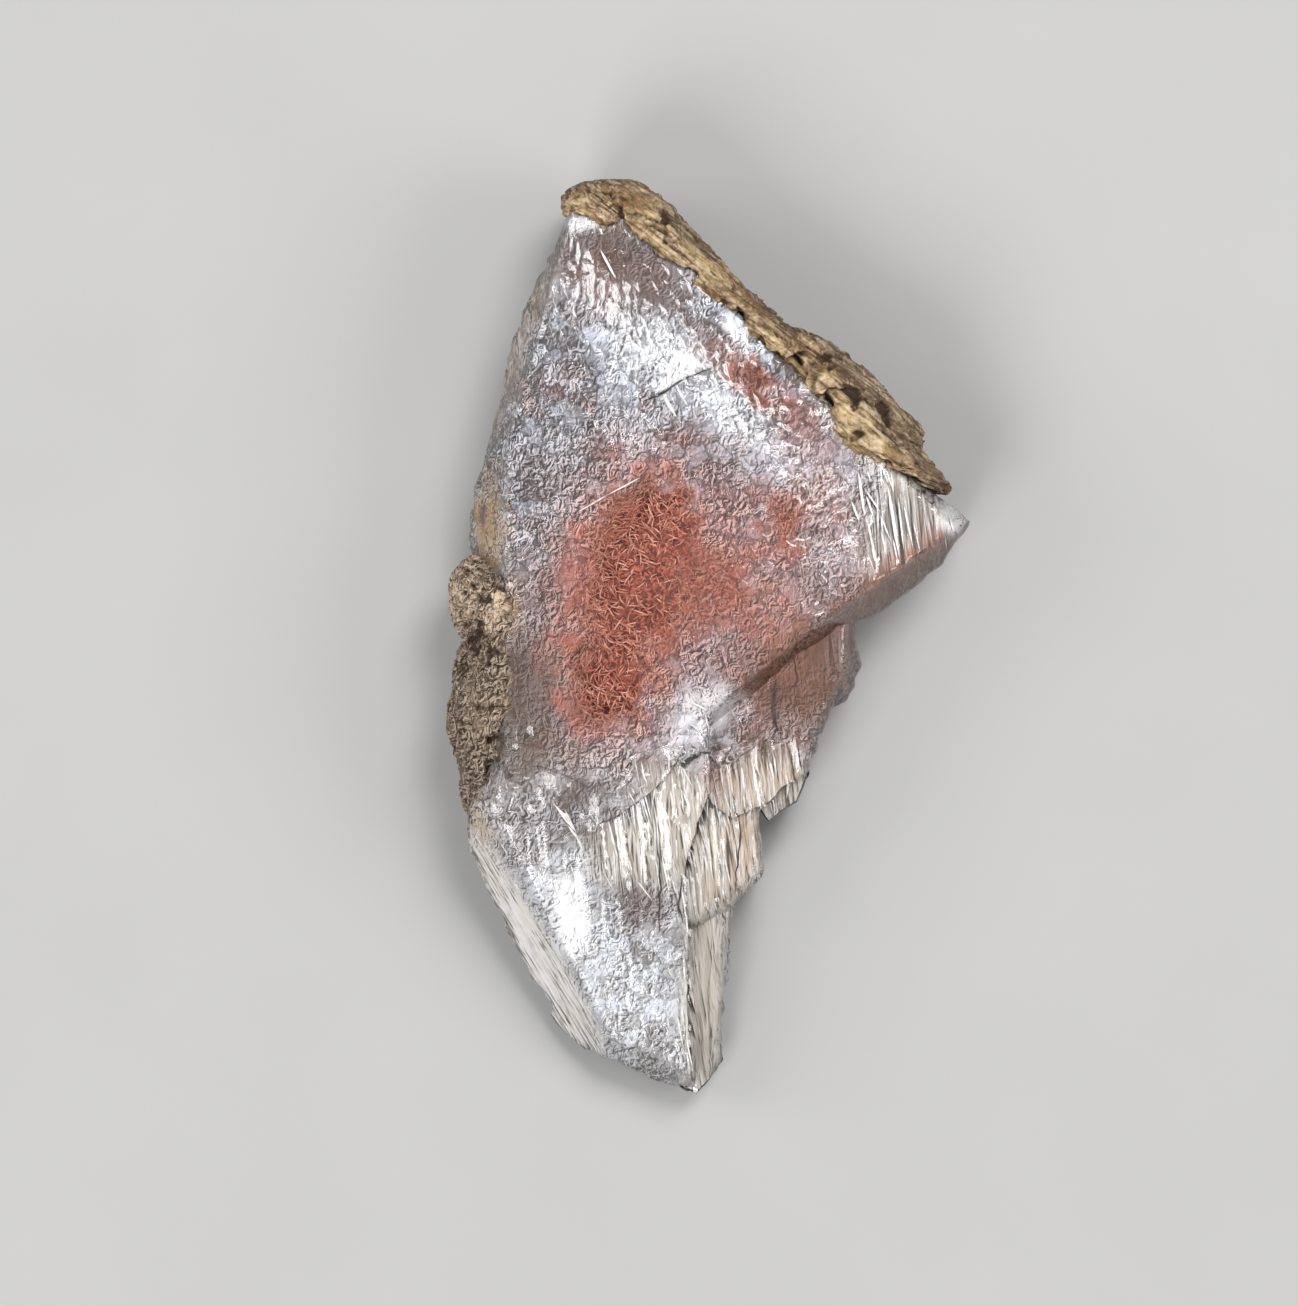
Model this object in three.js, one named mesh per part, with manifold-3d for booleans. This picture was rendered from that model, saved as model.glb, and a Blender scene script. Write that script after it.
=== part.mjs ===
import * as THREE from "three";
import { mergeVertices } from "three/addons/utils/BufferGeometryUtils.js";
import Module from "manifold-3d";

// Native copper in selenite: a cleavage blade of clear gypsum that encloses felts of copper wire, with
// iron-stained matrix left on its broken edges. It lies on its flat cleavage back.
// Millimetres. +Y runs up the blade to its blunt end and +Z out of its broad front. The origin is on the
// surface that the blade lies on, under the middle of it. Outlines run clockwise, seen from the front.

// Heights of the cleavage steps above the flat back
const BLOCK_TOP = 11.8;
const BLOCK_RIM = 11;
const SLOPE_TOP = 11.2;
const BODY_TOP = 9.2;
const SHELF_TOP = 8.7;
const FRINGE_TOP = 7.8;
const APRON_TOP = 6.7;
const TOOTH_TOP = 5.4;
const BLADE_TOP = 4.9;

// The plane that parts the clear crystal, and the room kept between pieces
const PARTING = 5;
const CLEARANCE = 0.3;

// Fibres and striations: their size, how far their ends stray across and along the row, and how much
// their thickness varies
const FIBRE_WIDTH = 0.55;
const FIBRE_HEIGHT = 0.22;
const RAIL_WIDTH = 0.7;
const RAIL_HEIGHT = 0.3;
const STRAY_ACROSS = 0.12;
const STRAY_ALONG = 0.6;
const THICKNESS_SPREAD = 0.35;

// Matrix left on the edges: rings in each strip, how far it laps up over the front, the height of its
// bumps, how deep its root would reach into the crystal, and the height of its lower edge
const RIND_RINGS = 46;
const CRUST_RINGS = 26;
const MATRIX_LIP = 0.8;
const MATRIX_BUMP = 0.26;
const MATRIX_ROOT = 1.2;
const MATRIX_FOOT = 2.2;

// Size of the blocks that cut faces, larger than the whole blade
const REACH = 200;

const wasm = await Module();
wasm.setup();

// Solids in and out of three.js

function solidFrom(geometry) {
  const plain = geometry.clone();
  plain.deleteAttribute("normal");
  plain.deleteAttribute("uv");
  const merged = mergeVertices(plain, 1e-5);
  return new wasm.Manifold(
    new wasm.Mesh({
      numProp: 3,
      vertProperties: new Float32Array(merged.attributes.position.array),
      triVerts: new Uint32Array(merged.index.array),
    })
  );
}

function meshFrom(name, solid, material) {
  const data = solid.getMesh();
  const geometry = new THREE.BufferGeometry();
  geometry.setAttribute("position", new THREE.BufferAttribute(data.vertProperties, 3));
  geometry.setIndex(new THREE.BufferAttribute(data.triVerts, 1));
  geometry.computeVertexNormals();
  const mesh = new THREE.Mesh(geometry, material);
  mesh.name = name;
  return mesh;
}

function unite(solids) {
  return solids.reduce((whole, solid) => whole.add(solid));
}

// The main body of a solid, without the crumbs that a cut leaves
function withoutCrumbs(solid) {
  return solid.decompose().reduce((largest, body) => (body.volume() > largest.volume() ? body : largest));
}

// A repeatable number from -1 to 1 for each pair of whole numbers
function chance(i, j) {
  const value = Math.sin(i * 12.9898 + j * 78.233) * 43758.5453;
  return (value - Math.floor(value)) * 2 - 1;
}

// Crystal faces. A face is a point on it and the direction it looks in.

const side = (from, to) => new THREE.Vector2(from[1] - to[1], to[0] - from[0]).normalize();

// A face through the line between two points in space, that falls so many millimetres for each one outwards
function bevel(from, to, fall) {
  const outwards = side(from, to);
  const along = new THREE.Vector3(to[0] - from[0], to[1] - from[1], to[2] - from[2]);
  const down = new THREE.Vector3(outwards.x, outwards.y, -fall);
  return { at: new THREE.Vector3(...from), out: along.cross(down).normalize() };
}

// A face under the rim, that leaves the flat back at a line and rises outwards
function underside(from, to, rise) {
  const outwards = side(from, to);
  const out = new THREE.Vector3(outwards.x * rise, outwards.y * rise, -1).normalize();
  return { at: new THREE.Vector3(from[0], from[1], 0), out };
}

// A nearly level face: its height at a point, and how much it rises along X and Y
function level(x, y, z, riseX, riseY) {
  return { at: new THREE.Vector3(x, y, z), out: new THREE.Vector3(-riseX, -riseY, 1).normalize() };
}

function faceHeight(face, x, y) {
  return face.at.z - ((x - face.at.x) * face.out.x + (y - face.at.y) * face.out.y) / face.out.z;
}

// The outline with each edge moved outwards
function grownOutline(outline, by) {
  return outline.map((corner, i) => {
    const before = side(outline[(i + outline.length - 1) % outline.length], corner);
    const after = side(corner, outline[(i + 1) % outline.length]);
    const middle = before.clone().add(after).normalize();
    const shift = by / Math.max(0.5, middle.dot(after));
    return [corner[0] + middle.x * shift, corner[1] + middle.y * shift];
  });
}

function cutBy(solid, face, grow) {
  const block = new THREE.BoxGeometry(REACH, REACH, REACH);
  block.translate(0, 0, REACH / 2 + grow);
  block.applyQuaternion(new THREE.Quaternion().setFromUnitVectors(new THREE.Vector3(0, 0, 1), face.out));
  block.translate(face.at.x, face.at.y, face.at.z);
  return solid.subtract(solidFrom(block));
}

// A cleavage plate: an outline raised from the flat back and cut by its faces
function plateSolid(plate, grow = 0) {
  const corners = grownOutline(plate.outline, grow).map(([x, y]) => new THREE.Vector2(x, y));
  const depth = plate.top + 2 * grow;
  const raised = new THREE.ExtrudeGeometry(new THREE.Shape(corners), { depth, bevelEnabled: false });
  raised.translate(0, 0, -grow);
  return plate.faces.reduce((solid, face) => cutBy(solid, face, grow), solidFrom(raised));
}

function plateHeight(plate, x, y) {
  const upper = plate.faces.filter((face) => face.out.z > 0);
  return Math.min(plate.top, ...upper.map((face) => faceHeight(face, x, y)));
}

// The plates

const block = {
  top: BLOCK_TOP,
  outline: [
    [-9.5, 26.8], [-9, 30], [4, 30], [24, 10], [17.3, 8.1], [17.1, 7.2], [15.3, 4.9], [13.4, 3.2],
    [10.9, 1.6], [9.7, 0.8], [8.4, 0.9], [7.7, -0.1], [6.3, -0.7], [5.2, -1.4], [4.1, -2.6],
    [3.5, -3.9], [2.9, -4.9], [2, -5.7], [1.2, -6.5], [0.3, -6.3], [-0.7, -6.9], [-1.8, -7.8],
    [-2.8, -8], [-4.5, -8.2], [-5.8, -9.2], [-7.8, -9.9], [-9.8, -8.9], [-11.5, -8.3],
    [-12.7, -9.2], [-13.7, -8.7], [-15.3, -8.5], [-15.6, -5.4], [-15.3, -1], [-15.2, 2.5],
    [-15.3, 5.4], [-15.9, 6.4], [-15.7, 8], [-15.3, 10.3], [-14.5, 12.7], [-13.8, 15.1],
    [-13.2, 18.2], [-12.9, 19.8], [-11.8, 22.1], [-10.7, 24.5],
  ],
  faces: [
    bevel([-12, 27.9, 10.6], [0, 27.9, 10.6], 6),
    bevel([-4.4, 26.7, BLOCK_RIM], [12.3, 10, BLOCK_RIM], 6),
    bevel([15.7, 9.6, 9.9], [16.3, 7, 9.6], 2.4),
    bevel([15.6, 6.9, 10.3], [8.3, 1.5, 10.7], 2.6),
    bevel([-13.4, -9, 10.4], [-13.2, 8, 10.6], 2.2),
    bevel([-13.4, 12, 10.8], [-9.4, 26.5, 10.4], 2.6),
    bevel([-7.1, -8, 11.5], [-9.2, 22, 11.5], 0.13),
    bevel([-8, 12.7, 11.7], [3, 19, 11.7], 0.08),
    bevel([9, 16, 11.3], [9.6, 0, 11.3], 0.16),
    bevel([8, -1, 11.5], [-12, -5, 11.5], 0.11),
    underside([-15.1, -9], [-14.6, 5], 1),
    underside([-13.9, 10], [-9, 26.6], 1.1),
    underside([-9, 26.6], [-4.4, 26.9], 0.8),
    underside([-4.4, 27.2], [14.6, 8.2], 0.9),
    underside([15.2, 7.6], [9, 2.4], 1.3),
  ],
};

const slope = {
  top: SLOPE_TOP,
  outline: [
    [-15, -7], [-1, -6], [-2.4, -8.6], [-3.6, -9.9], [-5.2, -11.1], [-7.5, -12.4], [-9.4, -13.7],
    [-11.8, -13.4], [-13, -12.4], [-13.7, -10.6],
  ],
  faces: [level(-8, -8.6, SLOPE_TOP, 0.02, 0.42), bevel([-14, -13, 8.6], [-13.4, -8, 9.6], 1.4)],
};

const body = {
  top: BODY_TOP + 2,
  outline: [
    [-15.4, -6], [0, -5], [0.3, -9.9], [-0.6, -11.9], [-1.4, -14.5], [-1.6, -16.6], [-1.2, -18.9],
    [-1.3, -23.6], [-1.1, -27.6], [-0.7, -29.6], [-2.3, -29.6], [-4.1, -28.9], [-5.9, -27.9],
    [-8.4, -26.9], [-9.7, -25.8], [-10.6, -24.9], [-10.3, -24.2], [-11.9, -21.9], [-13.8, -17.9],
    [-15.6, -14], [-15.9, -12.4], [-15.5, -10.1],
  ],
  faces: [
    level(-5, -12, BODY_TOP, -0.05, 0.24),
    bevel([-5.3, -27.8, 5.2], [-13.2, -13.1, 8.9], 1.45),
    bevel([-2, -24, 6.2], [-9.6, -13.8, 9], 0.17),
    bevel([-1.2, -28.7, 4.6], [-8.6, -25.2, 5.6], 1.3),
    underside([-6.8, -27.2], [-14.2, -14.2], 0.8),
    underside([-1.6, -28.6], [-7.6, -26], 1),
    underside([-14.9, -13.2], [-14.9, -6], 1),
  ],
};

const shelf = {
  top: SHELF_TOP + 1,
  outline: [
    [9.8, 0.9], [9.6, 0.1], [10, -1.4], [9.6, -3], [9.1, -3.9], [8.1, -4.6], [7.7, -5.4], [7.4, -6.2],
    [5.2, -6.4], [3.5, -6.7], [2.6, -7.4], [1.8, -7.8], [0.8, -8.2], [-0.6, -6], [2, -2], [7, 2.5],
  ],
  faces: [
    level(5, -3, SHELF_TOP, -0.09, 0.11),
    bevel([9.2, 1, 8.1], [9, -2.6, 7.9], 2.2),
    bevel([8.6, -2.6, 8], [6.9, -6.4, 7.6], 2.2),
    underside([9, 0], [7, -6.2], 1.1),
  ],
};

const fringe = {
  top: FRINGE_TOP + 1,
  outline: [
    [7.4, -6.2], [7.1, -6.9], [6.9, -7.7], [6.5, -8.7], [5.7, -9.3], [4.8, -9.7], [4.1, -10.5],
    [3.5, -10.9], [2.7, -11.3], [1.4, -11.9], [0.5, -10.6], [0.2, -8.5], [-0.5, -5.5], [5, -5],
  ],
  faces: [
    level(4, -8, FRINGE_TOP, -0.08, 0.19),
    bevel([7, -5.6, 7.6], [6.1, -8.8, 7], 2.4),
    underside([6.6, -6], [5.8, -9], 1.1),
  ],
};

const tooth = {
  top: TOOTH_TOP + 1,
  outline: [
    [6.5, -8.7], [5.8, -10.7], [4.8, -11.3], [3.9, -12.1], [3.4, -11.3], [2.6, -10.6], [2, -8], [6, -7],
  ],
  faces: [level(5, -10.5, TOOTH_TOP, -0.14, 0.12), underside([5.9, -8.6], [5.2, -10.6], 1)],
};

const apron = {
  top: APRON_TOP + 1,
  outline: [
    [3.5, -10.6], [3.3, -12.4], [3.6, -14.8], [3.5, -15.6], [2.7, -16.4], [1.9, -17.2], [1.2, -17.9],
    [0.3, -18.3], [-1.1, -18.9], [-2.4, -18], [-2.4, -10], [1, -8],
  ],
  faces: [
    level(1, -14, APRON_TOP, -0.06, 0.1),
    bevel([3, -10.6, 6.6], [3.1, -15.6, 6.3], 1.8),
    bevel([2.9, -15.4, 6.3], [-1, -18.5, 6.2], 1.5),
    underside([2.8, -10.6], [2.8, -15.4], 1),
    underside([2.8, -15.4], [1, -17.2], 1),
  ],
};

const blade = {
  top: BLADE_TOP + 1,
  outline: [
    [-2.8, -16], [1.9, -16.4], [1.5, -19], [1.3, -21.9], [1, -23.4], [0.9, -24.2], [0.7, -25.8],
    [0.9, -27.6], [0.6, -28.2], [0.1, -29], [-0.3, -29.7], [-0.8, -30], [-1.5, -29.6], [-2.8, -28.4],
  ],
  faces: [
    level(0, -19, BLADE_TOP, -0.05, 0.21),
    bevel([1.3, -16, 5.2], [0.2, -28.4, 2.6], 1.4),
    underside([0.7, -18], [0.1, -28.6], 0.9),
  ],
};

const plates = [block, slope, body, shelf, fringe, tooth, apron, blade];

// Low relief grown on the plates

// A slender ridge that lies on a plate between two points of its plan
function ridge(plate, from, to, width, height) {
  const start = new THREE.Vector3(from[0], from[1], plateHeight(plate, ...from));
  const end = new THREE.Vector3(to[0], to[1], plateHeight(plate, ...to));
  const along = end.clone().sub(start).normalize();
  const across = new THREE.Vector3(0, 0, 1).cross(along).normalize();
  const up = along.clone().cross(across);
  const form = new THREE.OctahedronGeometry(1);
  form.scale(start.distanceTo(end) / 2, width / 2, height);
  form.applyMatrix4(new THREE.Matrix4().makeBasis(along, across, up));
  const middle = start.add(end).multiplyScalar(0.5);
  form.translate(middle.x, middle.y, middle.z);
  return solidFrom(form);
}

// A row of ridges whose ends run along two lines, with a repeatable scatter
function fibres({ plate, starts, ends, count, width, height, seed }) {
  return Array.from({ length: count }, (_, i) => {
    const t = (i + 0.5) / count;
    const at = (line, j) => [
      THREE.MathUtils.lerp(line[0][0], line[1][0], t) + STRAY_ACROSS * chance(seed, i + j),
      THREE.MathUtils.lerp(line[0][1], line[1][1], t) + STRAY_ALONG * chance(seed + 1, i + j),
    ];
    const thickness = 1 + THICKNESS_SPREAD * chance(seed + 2, i);
    return ridge(plate, at(starts, 0), at(ends, count), width * thickness, height * thickness);
  });
}

const relief = [
  ...fibres({
    plate: body, starts: [[-14.6, -13.2], [-12.9, -12.6]], ends: [[-9.9, -23.2], [-6.4, -26.4]],
    count: 5, width: RAIL_WIDTH, height: RAIL_HEIGHT, seed: 3,
  }),
  ...fibres({
    plate: body, starts: [[-8.9, -14], [-2, -11.6]], ends: [[-7, -20], [-2.2, -19.6]],
    count: 8, width: FIBRE_WIDTH, height: FIBRE_HEIGHT, seed: 11,
  }),
  ...fibres({
    plate: fringe, starts: [[1.4, -8.4], [6.3, -6.8]], ends: [[1.6, -11], [6, -8.4]],
    count: 8, width: FIBRE_WIDTH, height: 0.3, seed: 21,
  }),
  ...fibres({
    plate: apron, starts: [[-0.4, -11.6], [2.9, -11.4]], ends: [[-0.6, -17.8], [2.8, -14.8]],
    count: 5, width: FIBRE_WIDTH, height: FIBRE_HEIGHT, seed: 31,
  }),
  ...fibres({
    plate: blade, starts: [[-0.9, -19.2], [1, -18.6]], ends: [[-0.9, -28.4], [0.3, -27.2]],
    count: 4, width: 0.45, height: FIBRE_HEIGHT, seed: 41,
  }),
  ...fibres({
    plate: block, starts: [[9.6, 10.6], [13.8, 9]], ends: [[10.2, 4.2], [13.4, 6.2]],
    count: 6, width: 0.5, height: FIBRE_HEIGHT, seed: 51,
  }),
];

// Ledge lumps along the broken foot of the thick block
const lumps = [
  { at: [-3.6, -8.4, 10.3], size: [1.3, 0.8, 0.9], turn: 0.4 },
  { at: [-1.4, -7.6, 10.2], size: [1.2, 0.9, 0.9], turn: -0.5 },
  { at: [0.9, -7.5, 8.9], size: [1.2, 0.8, 0.8], turn: 0.6 },
  { at: [-2.2, -10.4, 9.2], size: [0.9, 1.8, 0.7], turn: 0.3 },
  { at: [-12.2, -9.4, 10.4], size: [1.1, 0.7, 0.7], turn: 0.2 },
  { at: [2.2, 19.6, 10.9], size: [1.5, 0.9, 0.55], turn: -0.8 },
  { at: [4.6, 17.2, 10.9], size: [1.2, 0.8, 0.55], turn: -0.8 },
  { at: [15.1, 8.3, 9.9], size: [0.9, 1.3, 0.5], turn: -0.3 },
];

// Small square-edged etch pits in the front, and the long pit in the left edge
const pits = [
  { at: [6.9, 3, 11.3], size: [1.5, 2.2, 0.9], turn: 0.1 },
  { at: [6.2, 6.7, 11.4], size: [1.9, 1, 0.9], turn: 0.15 },
  { at: [-14.6, 8, 9], size: [1, 4.6, 2], turn: -0.12 },
];

function placed(geometry, { at, size, turn }) {
  geometry.scale(...size);
  geometry.rotateZ(turn);
  geometry.translate(...at);
  return solidFrom(geometry);
}

// Copper felts: swellings of matted wire, each a stretched ball, and the pocket that each felt lies in

const mainFelt = [
  { at: [-4.6, 2.9, 7.2], size: [4.3, 7, 3.1], turn: 0 },
  { at: [-2.4, 8, 7.3], size: [3.6, 3.1, 3], turn: 0.5 },
  { at: [-6.4, -3.2, 7], size: [3.2, 2.9, 2.8], turn: 0.3 },
  { at: [1.6, 2.4, 6.9], size: [4, 4.2, 2.8], turn: -0.3 },
  { at: [4.6, 6.4, 7.1], size: [3.9, 4.4, 2.9], turn: 0.2 },
  { at: [8.6, 3.8, 6.6], size: [3.2, 2, 2.3], turn: 0.6 },
];
const upperFelt = [
  { at: [3.4, 16.4, 7.1], size: [2.6, 1.6, 2.7], turn: -0.7 },
  { at: [6, 13.6, 7.1], size: [2, 1.8, 2.5], turn: -0.7 },
];
const ledgeFelt = [
  { at: [5.4, -3.4, 4.9], size: [2.5, 2.9, 1.8], turn: 0.3 },
  { at: [3.4, -6.4, 4.7], size: [2, 2, 1.6], turn: 0 },
];

function felt(swellings, grow = 0) {
  return unite(
    swellings.map(({ at, size, turn }) =>
      placed(new THREE.IcosahedronGeometry(1, 2), { at, size: size.map((half) => half + grow), turn })
    )
  );
}

// Matrix: a lumpy strip carried along the edge. A station gives where the strip begins on the front, where
// it ends outwards, and the height of that outer edge.

const rindStations = [
  { inner: [-8.8, 27.2], outer: [-9.9, 28], edge: 8.4 },
  { inner: [-8.1, 27.4], outer: [-9.5, 29.1], edge: 8.4 },
  { inner: [-7, 27.3], outer: [-7.8, 30], edge: 8 },
  { inner: [-5.6, 26.9], outer: [-4.9, 30], edge: 7.6 },
  { inner: [-4.3, 26.2], outer: [-2.8, 28.7], edge: 7.6 },
  { inner: [-2.6, 25], outer: [-0.6, 26.2], edge: 7.8 },
  { inner: [-0.8, 23.3], outer: [1.3, 24.3], edge: 7.6 },
  { inner: [1.6, 21.2], outer: [3.3, 22.4], edge: 7.4 },
  { inner: [3.5, 19.3], outer: [5.4, 20.6], edge: 7.6 },
  { inner: [5, 18.2], outer: [7.2, 19.7], edge: 8.2 },
  { inner: [6.6, 16.4], outer: [9.4, 18.4], edge: 9 },
  { inner: [8, 14.7], outer: [12, 15.9], edge: 9.4 },
  { inner: [9.2, 12.8], outer: [13.7, 14.1], edge: 9.2 },
  { inner: [11.2, 11.5], outer: [14, 12.4], edge: 7.8 },
  { inner: [12.8, 10.5], outer: [15.4, 10.7], edge: 7.4 },
  { inner: [14.2, 9.6], outer: [16.6, 9.3], edge: 7.2 },
];

const crustStations = [
  { inner: [-14.9, -11.6], outer: [-16.1, -11.9], edge: 5.8 },
  { inner: [-14.5, -10], outer: [-16.3, -10.2], edge: 6 },
  { inner: [-14.2, -8.5], outer: [-16.2, -8.7], edge: 6.2 },
  { inner: [-13.9, -7], outer: [-16.8, -7], edge: 6.2 },
  { inner: [-13.5, -5.4], outer: [-17.3, -5.4], edge: 6 },
  { inner: [-13.3, -3.6], outer: [-16.9, -3.6], edge: 6 },
  { inner: [-13.2, -1.2], outer: [-16.4, -1.2], edge: 6.4 },
  { inner: [-13.1, 0], outer: [-15.9, 0], edge: 7 },
  { inner: [-13, 0.8], outer: [-16.6, 0.8], edge: 6.8 },
  { inner: [-13.2, 2.5], outer: [-17.1, 2.5], edge: 6.6 },
  { inner: [-13.7, 4.2], outer: [-16.8, 4.2], edge: 6.8 },
  { inner: [-14.3, 5.4], outer: [-15.7, 5.7], edge: 7.4 },
];

// Closed surface through rings of the same number of points, its ends closed by fans
function loft(rings) {
  const count = rings[0].length;
  const ringPoint = (i, j) => rings[i][j % count];
  const triangles = [];
  for (let i = 0; i + 1 < rings.length; i += 1) {
    for (let j = 0; j < count; j += 1) {
      triangles.push(ringPoint(i, j), ringPoint(i + 1, j), ringPoint(i, j + 1));
      triangles.push(ringPoint(i, j + 1), ringPoint(i + 1, j), ringPoint(i + 1, j + 1));
    }
  }
  const last = rings.length - 1;
  for (let j = 1; j + 1 < count; j += 1) {
    triangles.push(ringPoint(0, 0), ringPoint(0, j), ringPoint(0, j + 1));
    triangles.push(ringPoint(last, 0), ringPoint(last, j + 1), ringPoint(last, j));
  }
  const positions = new Float32Array(triangles.flatMap((point) => point.toArray()));
  const geometry = new THREE.BufferGeometry();
  geometry.setAttribute("position", new THREE.BufferAttribute(positions, 3));
  return geometry;
}

function matrixStrip(stations, ringCount, carrier, seed) {
  const curve = (pick) => new THREE.CatmullRomCurve3(stations.map(pick));
  const innerLine = curve((s) => new THREE.Vector3(...s.inner, plateHeight(carrier, ...s.inner)));
  const outerLine = curve((s) => new THREE.Vector3(...s.outer, s.edge));
  const rings = Array.from({ length: ringCount }, (_, i) => {
    const t = i / (ringCount - 1);
    const inner = innerLine.getPoint(t);
    const outer = outerLine.getPoint(t);
    const bump = (j) => MATRIX_BUMP * chance(seed + i, j);
    const point = (u, z) => new THREE.Vector3().lerpVectors(inner, outer, u).setZ(z);
    const height = (u) => THREE.MathUtils.lerp(inner.z + MATRIX_LIP, outer.z, u ** 1.6);
    // Round the section: its root in the crystal, over the lumpy top, down the outside and back underneath
    return [
      point(-0.4, MATRIX_FOOT),
      point(-0.4, inner.z - MATRIX_ROOT),
      point(0, inner.z + CLEARANCE / 2),
      point(0.25, height(0.25) + bump(0)),
      point(0.5, height(0.5) + bump(1)),
      point(0.78, height(0.78) + bump(2)),
      point(1 - 0.03 * Math.abs(bump(3)), outer.z - 0.5 + bump(3)),
      point(0.96 - Math.abs(bump(4)) / 3, outer.z - 2.4 + bump(4)),
      point(0.7 + bump(5) / 4, MATRIX_FOOT + 0.6),
      point(0.45, MATRIX_FOOT),
    ];
  });
  return solidFrom(loft(rings));
}

// Assembly

const carved = pits.reduce(
  (solid, pit) => solid.subtract(placed(new THREE.BoxGeometry(1, 1, 1), pit)),
  unite([...plates.map((plate) => plateSolid(plate)), ...relief])
);
const crystal = unite([carved, ...lumps.map((lump) => placed(new THREE.IcosahedronGeometry(1, 1), lump))]);
const felts = [mainFelt, upperFelt, ledgeFelt];
const hollow = felts.reduce((solid, swellings) => solid.subtract(felt(swellings, CLEARANCE)), crystal);

function halfSpace(up) {
  const slab = new THREE.BoxGeometry(REACH, REACH, REACH);
  slab.translate(0, 0, PARTING + (up ? REACH : -REACH) / 2);
  return solidFrom(slab);
}

const seat = unite([block, slope, body].map((plate) => plateSolid(plate, CLEARANCE)));
const rind = withoutCrumbs(matrixStrip(rindStations, RIND_RINGS, block, 7).subtract(seat));
const crust = withoutCrumbs(matrixStrip(crustStations, CRUST_RINGS, block, 91).subtract(seat));

const clear = new THREE.MeshStandardMaterial({ color: 0xb9b4b3, roughness: 0.25, metalness: 0 });
const copper = new THREE.MeshStandardMaterial({ color: 0xb5502f, roughness: 0.45, metalness: 1 });
const stained = new THREE.MeshStandardMaterial({ color: 0x9c7f52, roughness: 0.85, metalness: 0 });
const earthy = new THREE.MeshStandardMaterial({ color: 0x7d6a55, roughness: 0.9, metalness: 0 });

const specimen = new THREE.Group();
specimen.add(
  meshFrom("selenite_front", hollow.intersect(halfSpace(true)), clear),
  meshFrom("selenite_back", hollow.intersect(halfSpace(false)), clear),
  meshFrom("copper_felt_main", felt(mainFelt), copper),
  meshFrom("copper_felt_upper", felt(upperFelt), copper),
  meshFrom("copper_felt_ledge", felt(ledgeFelt), copper),
  meshFrom("matrix_rind", rind, stained),
  meshFrom("matrix_crust", crust, earthy)
);

export default specimen;
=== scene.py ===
"""Native copper in selenite: a clear gypsum cleavage blade with felts of copper wire inside it and
iron-stained matrix on its broken edges, laid on a pale table under soft light.

Laid out as an add-on with one operator for each group of like pieces. Shapes are worked out in
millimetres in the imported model's frame, and become metres when a mesh is made.
"""

import functools
import itertools
import math

import bpy
import numpy as np
from bpy.props import FloatProperty, FloatVectorProperty, PointerProperty
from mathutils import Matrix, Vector


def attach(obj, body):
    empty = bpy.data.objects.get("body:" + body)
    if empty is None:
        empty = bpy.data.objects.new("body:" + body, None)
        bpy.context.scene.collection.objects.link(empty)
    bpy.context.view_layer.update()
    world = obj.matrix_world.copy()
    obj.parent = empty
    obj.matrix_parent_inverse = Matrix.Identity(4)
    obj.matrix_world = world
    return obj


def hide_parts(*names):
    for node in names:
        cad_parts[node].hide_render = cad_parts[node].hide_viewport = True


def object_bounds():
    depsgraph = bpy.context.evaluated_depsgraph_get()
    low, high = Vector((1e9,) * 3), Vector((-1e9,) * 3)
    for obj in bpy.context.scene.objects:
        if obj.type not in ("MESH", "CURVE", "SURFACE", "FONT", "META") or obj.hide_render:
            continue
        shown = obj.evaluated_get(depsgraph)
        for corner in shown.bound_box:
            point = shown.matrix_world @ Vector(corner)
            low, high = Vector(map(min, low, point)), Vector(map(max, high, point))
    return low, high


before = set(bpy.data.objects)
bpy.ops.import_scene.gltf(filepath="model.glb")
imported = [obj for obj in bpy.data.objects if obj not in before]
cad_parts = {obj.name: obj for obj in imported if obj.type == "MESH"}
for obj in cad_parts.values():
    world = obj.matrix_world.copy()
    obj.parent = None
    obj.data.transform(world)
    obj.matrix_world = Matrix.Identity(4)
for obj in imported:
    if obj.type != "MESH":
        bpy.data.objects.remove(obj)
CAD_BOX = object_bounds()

bl_info = {
    "name": "Native copper in selenite",
    "version": (1, 0, 0),
    "blender": (4, 5, 0),
    "location": "View3D > Sidebar > Specimen",
    "description": "Builds a selenite blade with copper wire inside it and matrix on its edges",
    "category": "Add Mesh",
}

MM = 0.001

# The camera's frame: its size, the width of a pixel on the specimen, and the pixel over the origin
FRAME_PIXELS = (1298, 1306)
MM_PER_PIXEL = 0.0655
ORIGIN_PIXEL = (709, 639)
# Height of the camera above the specimen's middle, and height of that, in metres
CAMERA_HEIGHT = 0.6
FOCUS_HEIGHT = 0.007

# How far walls, lumps and matrix may reach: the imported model's box, less a hair's breadth, in mm
BOX_MARGIN = 0.01
BOX_LOW = np.array(CAD_BOX[0]) / MM + BOX_MARGIN
BOX_HIGH = np.array(CAD_BOX[1]) / MM - BOX_MARGIN

TINY = 1e-9


# Repeatable noise

# Odd numbers that scatter the bits of a whole number, and the bits that are kept
HASH_FACTORS = (374761393, 668265263, 2246822519, 3266489917)
HASH_BITS = 0xFFFFFFFF
# The power of e that a spot has lost at its rim, where it is one half: the natural logarithm of 2
HALF_FALL = 0.693


def lattice(ix, iy, iz, seed):
    """Numbers from -1 to 1 for whole-number lattice points: an integer hash of the three indices."""
    a, b, c, d = HASH_FACTORS
    h = (ix * a + iy * b + iz * c + seed * d) & HASH_BITS
    h = ((h ^ (h >> 15)) * c) & HASH_BITS
    h = ((h ^ (h >> 13)) * d) & HASH_BITS
    return (h ^ (h >> 16)) / (HASH_BITS / 2) - 1


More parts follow.
